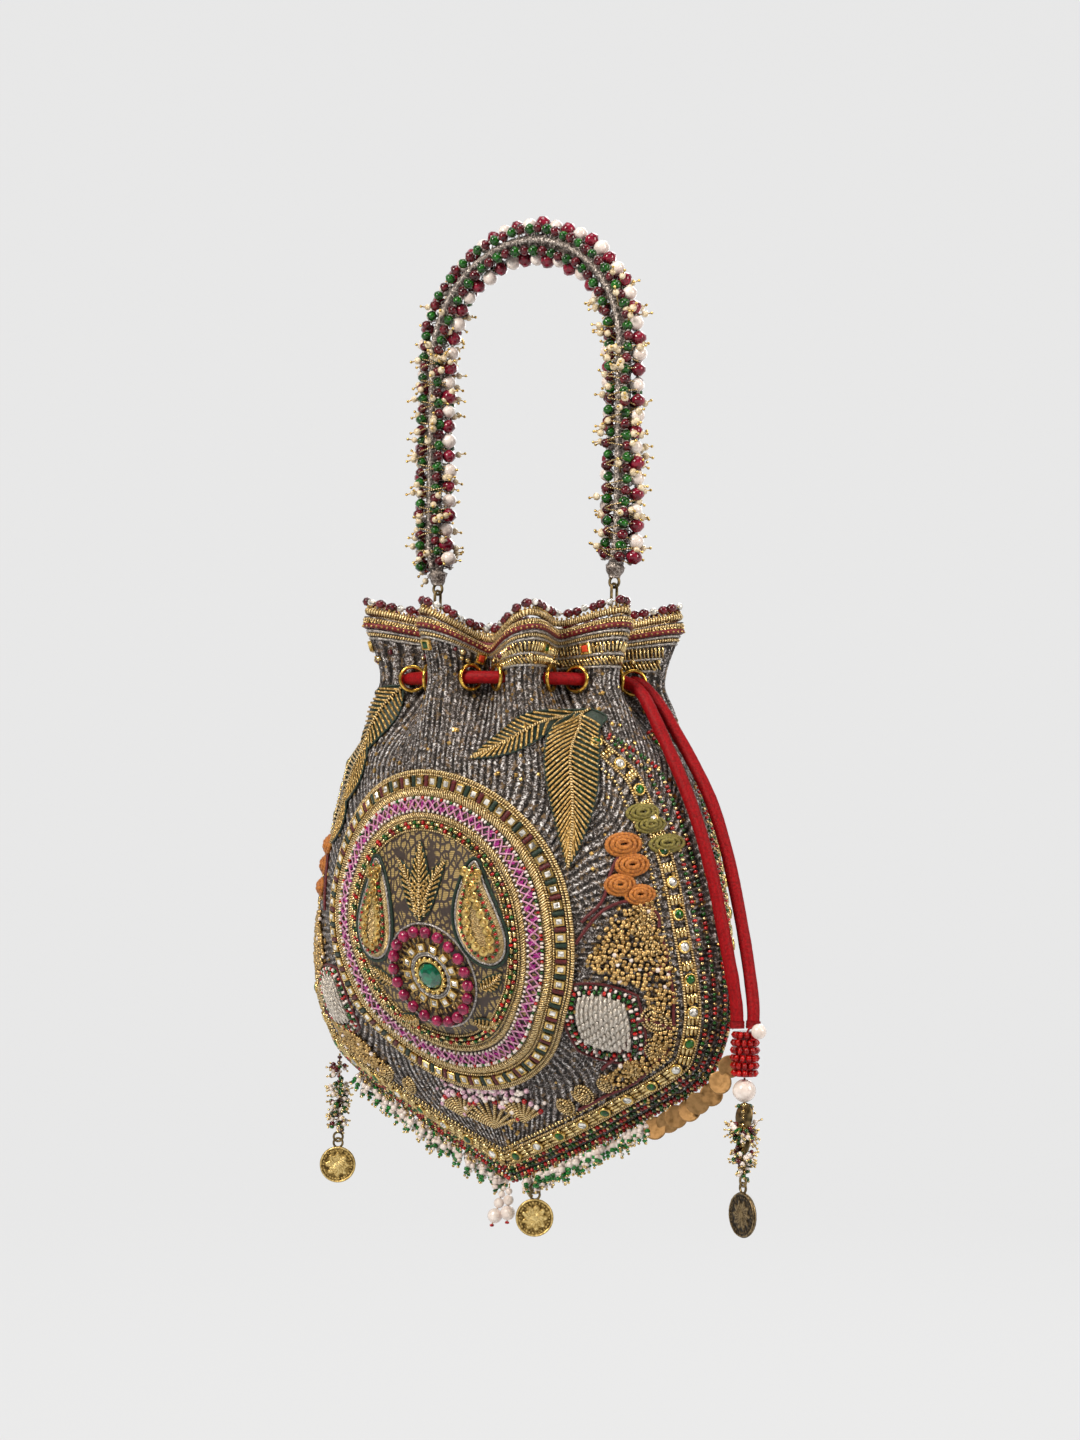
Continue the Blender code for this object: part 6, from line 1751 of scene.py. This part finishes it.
def side_motifs():
    """Fields of gold beads, coils of purl, dark red cords, fans of gold purl and scattered pearls.
    Places are (x, height) on the front."""
    chunks = [bead_field(corners, count, seed) for seed, (count, corners) in enumerate((
        (330, ((70, 108), (80, 112), (80, 104), (88, 96), (88, 80), (84, 70), (79, 68), (77, 80), (66, 83),
               (61, 90), (66, 100))),
        (150, ((62, 50), (74, 54), (78, 62), (86, 66), (84, 58), (74, 47), (62, 40), (56, 44))),
        (170, ((-84, 100), (-72, 104), (-70, 84), (-80, 76), (-88, 84))),
        (130, ((-76, 60), (-60, 54), (-48, 42), (-56, 36), (-74, 46)))), 1)]
    gold_bead = gilt_metal("gold_seed_bead", "#80643a", "#dab87c", 0.3)
    make_piece("side_bead_fields", chunks, [gold_bead, PEARL], "bag", "gold_metal")

    cords = []
    for x, z, radius, turns, start, way in (
            (84, 104, 4.6, 2.4, 0.5, 1), (88.5, 96, 3.8, 2.2, 2.2, -1), (85, 110.5, 3.6, 2.0, 4.0, 1),
            (88, 66, 5.2, 2.8, 1.0, 1), (80, 55, 4.4, 2.4, 2.0, -1), (72, 46, 3.8, 2.2, 0.2, 1),
            (57, 40, 3.6, 2.0, 1.5, -1), (48, 34, 4.4, 2.4, 3.0, 1), (37, 29, 3.8, 2.2, 0.8, -1),
            (-84, 68, 4.6, 2.4, 1.0, 1), (-72, 42, 4.2, 2.4, 2.0, -1), (-58, 33, 4.0, 2.2, 0.0, 1),
            (-45, 29, 4.0, 2.2, 1.2, -1), (-88, 92, 4.0, 2.4, 0.6, 1)):
        x, z = inside_border(x, z, radius + 0.4)
        for step in (0.0, 1.35):
            coil = spiral(x, z, radius - step, turns * (1 - step / 6), start, 0.7 + step * 0.3, way)
            cords.append(rope(coil, 0.62, 0, 2, 1.6, sides=6))
    for line in (((60, 104), (66, 112), (68, 124), (72, 136)),
                 ((58, 96), (66, 108), (74, 112), (82, 108), (89, 104)),
                 ((86, 66), (90, 76), (92, 88)), ((56, 48), (66, 56), (76, 68), (86, 64)),
                 ((-66, 104), (-68, 118), (-70, 130)), ((-62, 50), (-72, 58), (-82, 62)),
                 ((78, 84), (84, 90), (86, 100)), ((44, 26), (58, 34), (72, 42), (84, 56))):
        path = smooth_line([(*inside_border(a, b, 0.9), 0) for a, b in line], 1.0)
        cords.append(rope(row(path[:, 0], path[:, 1], 0.9, 0.7, start=0), 0.75, 1, 2, 2.4, sides=6))
    for x, z, size, first, last in ((0.0, 24.0, 13.0, 0.2, math.pi - 0.2), (-14.0, 27.5, 9.5, 0.5, 2.9),
                                    (15.0, 27.5, 9.5, 0.3, 2.7)):
        for k, angle in enumerate(np.linspace(first, last, 9)):
            tip_x, tip_z = x + size * math.cos(angle), z + size * 0.62 * math.sin(angle)
            ray = row(np.linspace(x, tip_x, 12), np.linspace(z - 3, tip_z, 12), 0.9, 0.6, start=0)
            cords.append(rope(ray, 0.85, 0, 2, 2.0, sides=6))
            cords.append(on_face(BALL, panel([tip_x], [tip_z], 0.9), np.full((1, 3), 1.15), 2 + k % 3))
    chance = np.random.default_rng(77)
    spots = chance.normal(size=(90, 2)) * (9.5, 2.2) + (2, 36.5)
    cords.append(on_face(BALL, panel(*spots.T, 1.0), chance.uniform(0.7, 1.15, 90),
                         chance.integers(3, 5, 90)))
    red_cord = satin_thread("dark_red_cord", "#3c0d12", "#6c1f24")
    rose_pearl = glass("rose_pearl", "#b98aa4", "#ecc9d8", 0.2, 0.4)
    make_piece("purl_scrolls", cords, [GOLD_THREAD, red_cord, RED_GLASS, PEARL, rose_pearl], "bag",
               "gold_braid")


sequins()
feather_leaves()
rosettes()
basket(62.5, 66.0, 9.0, 10.5, math.radians(-8), "basket_right")
basket(-68.0, 68.0, 7.5, 9.5, math.radians(8), "basket_left")
side_motifs()
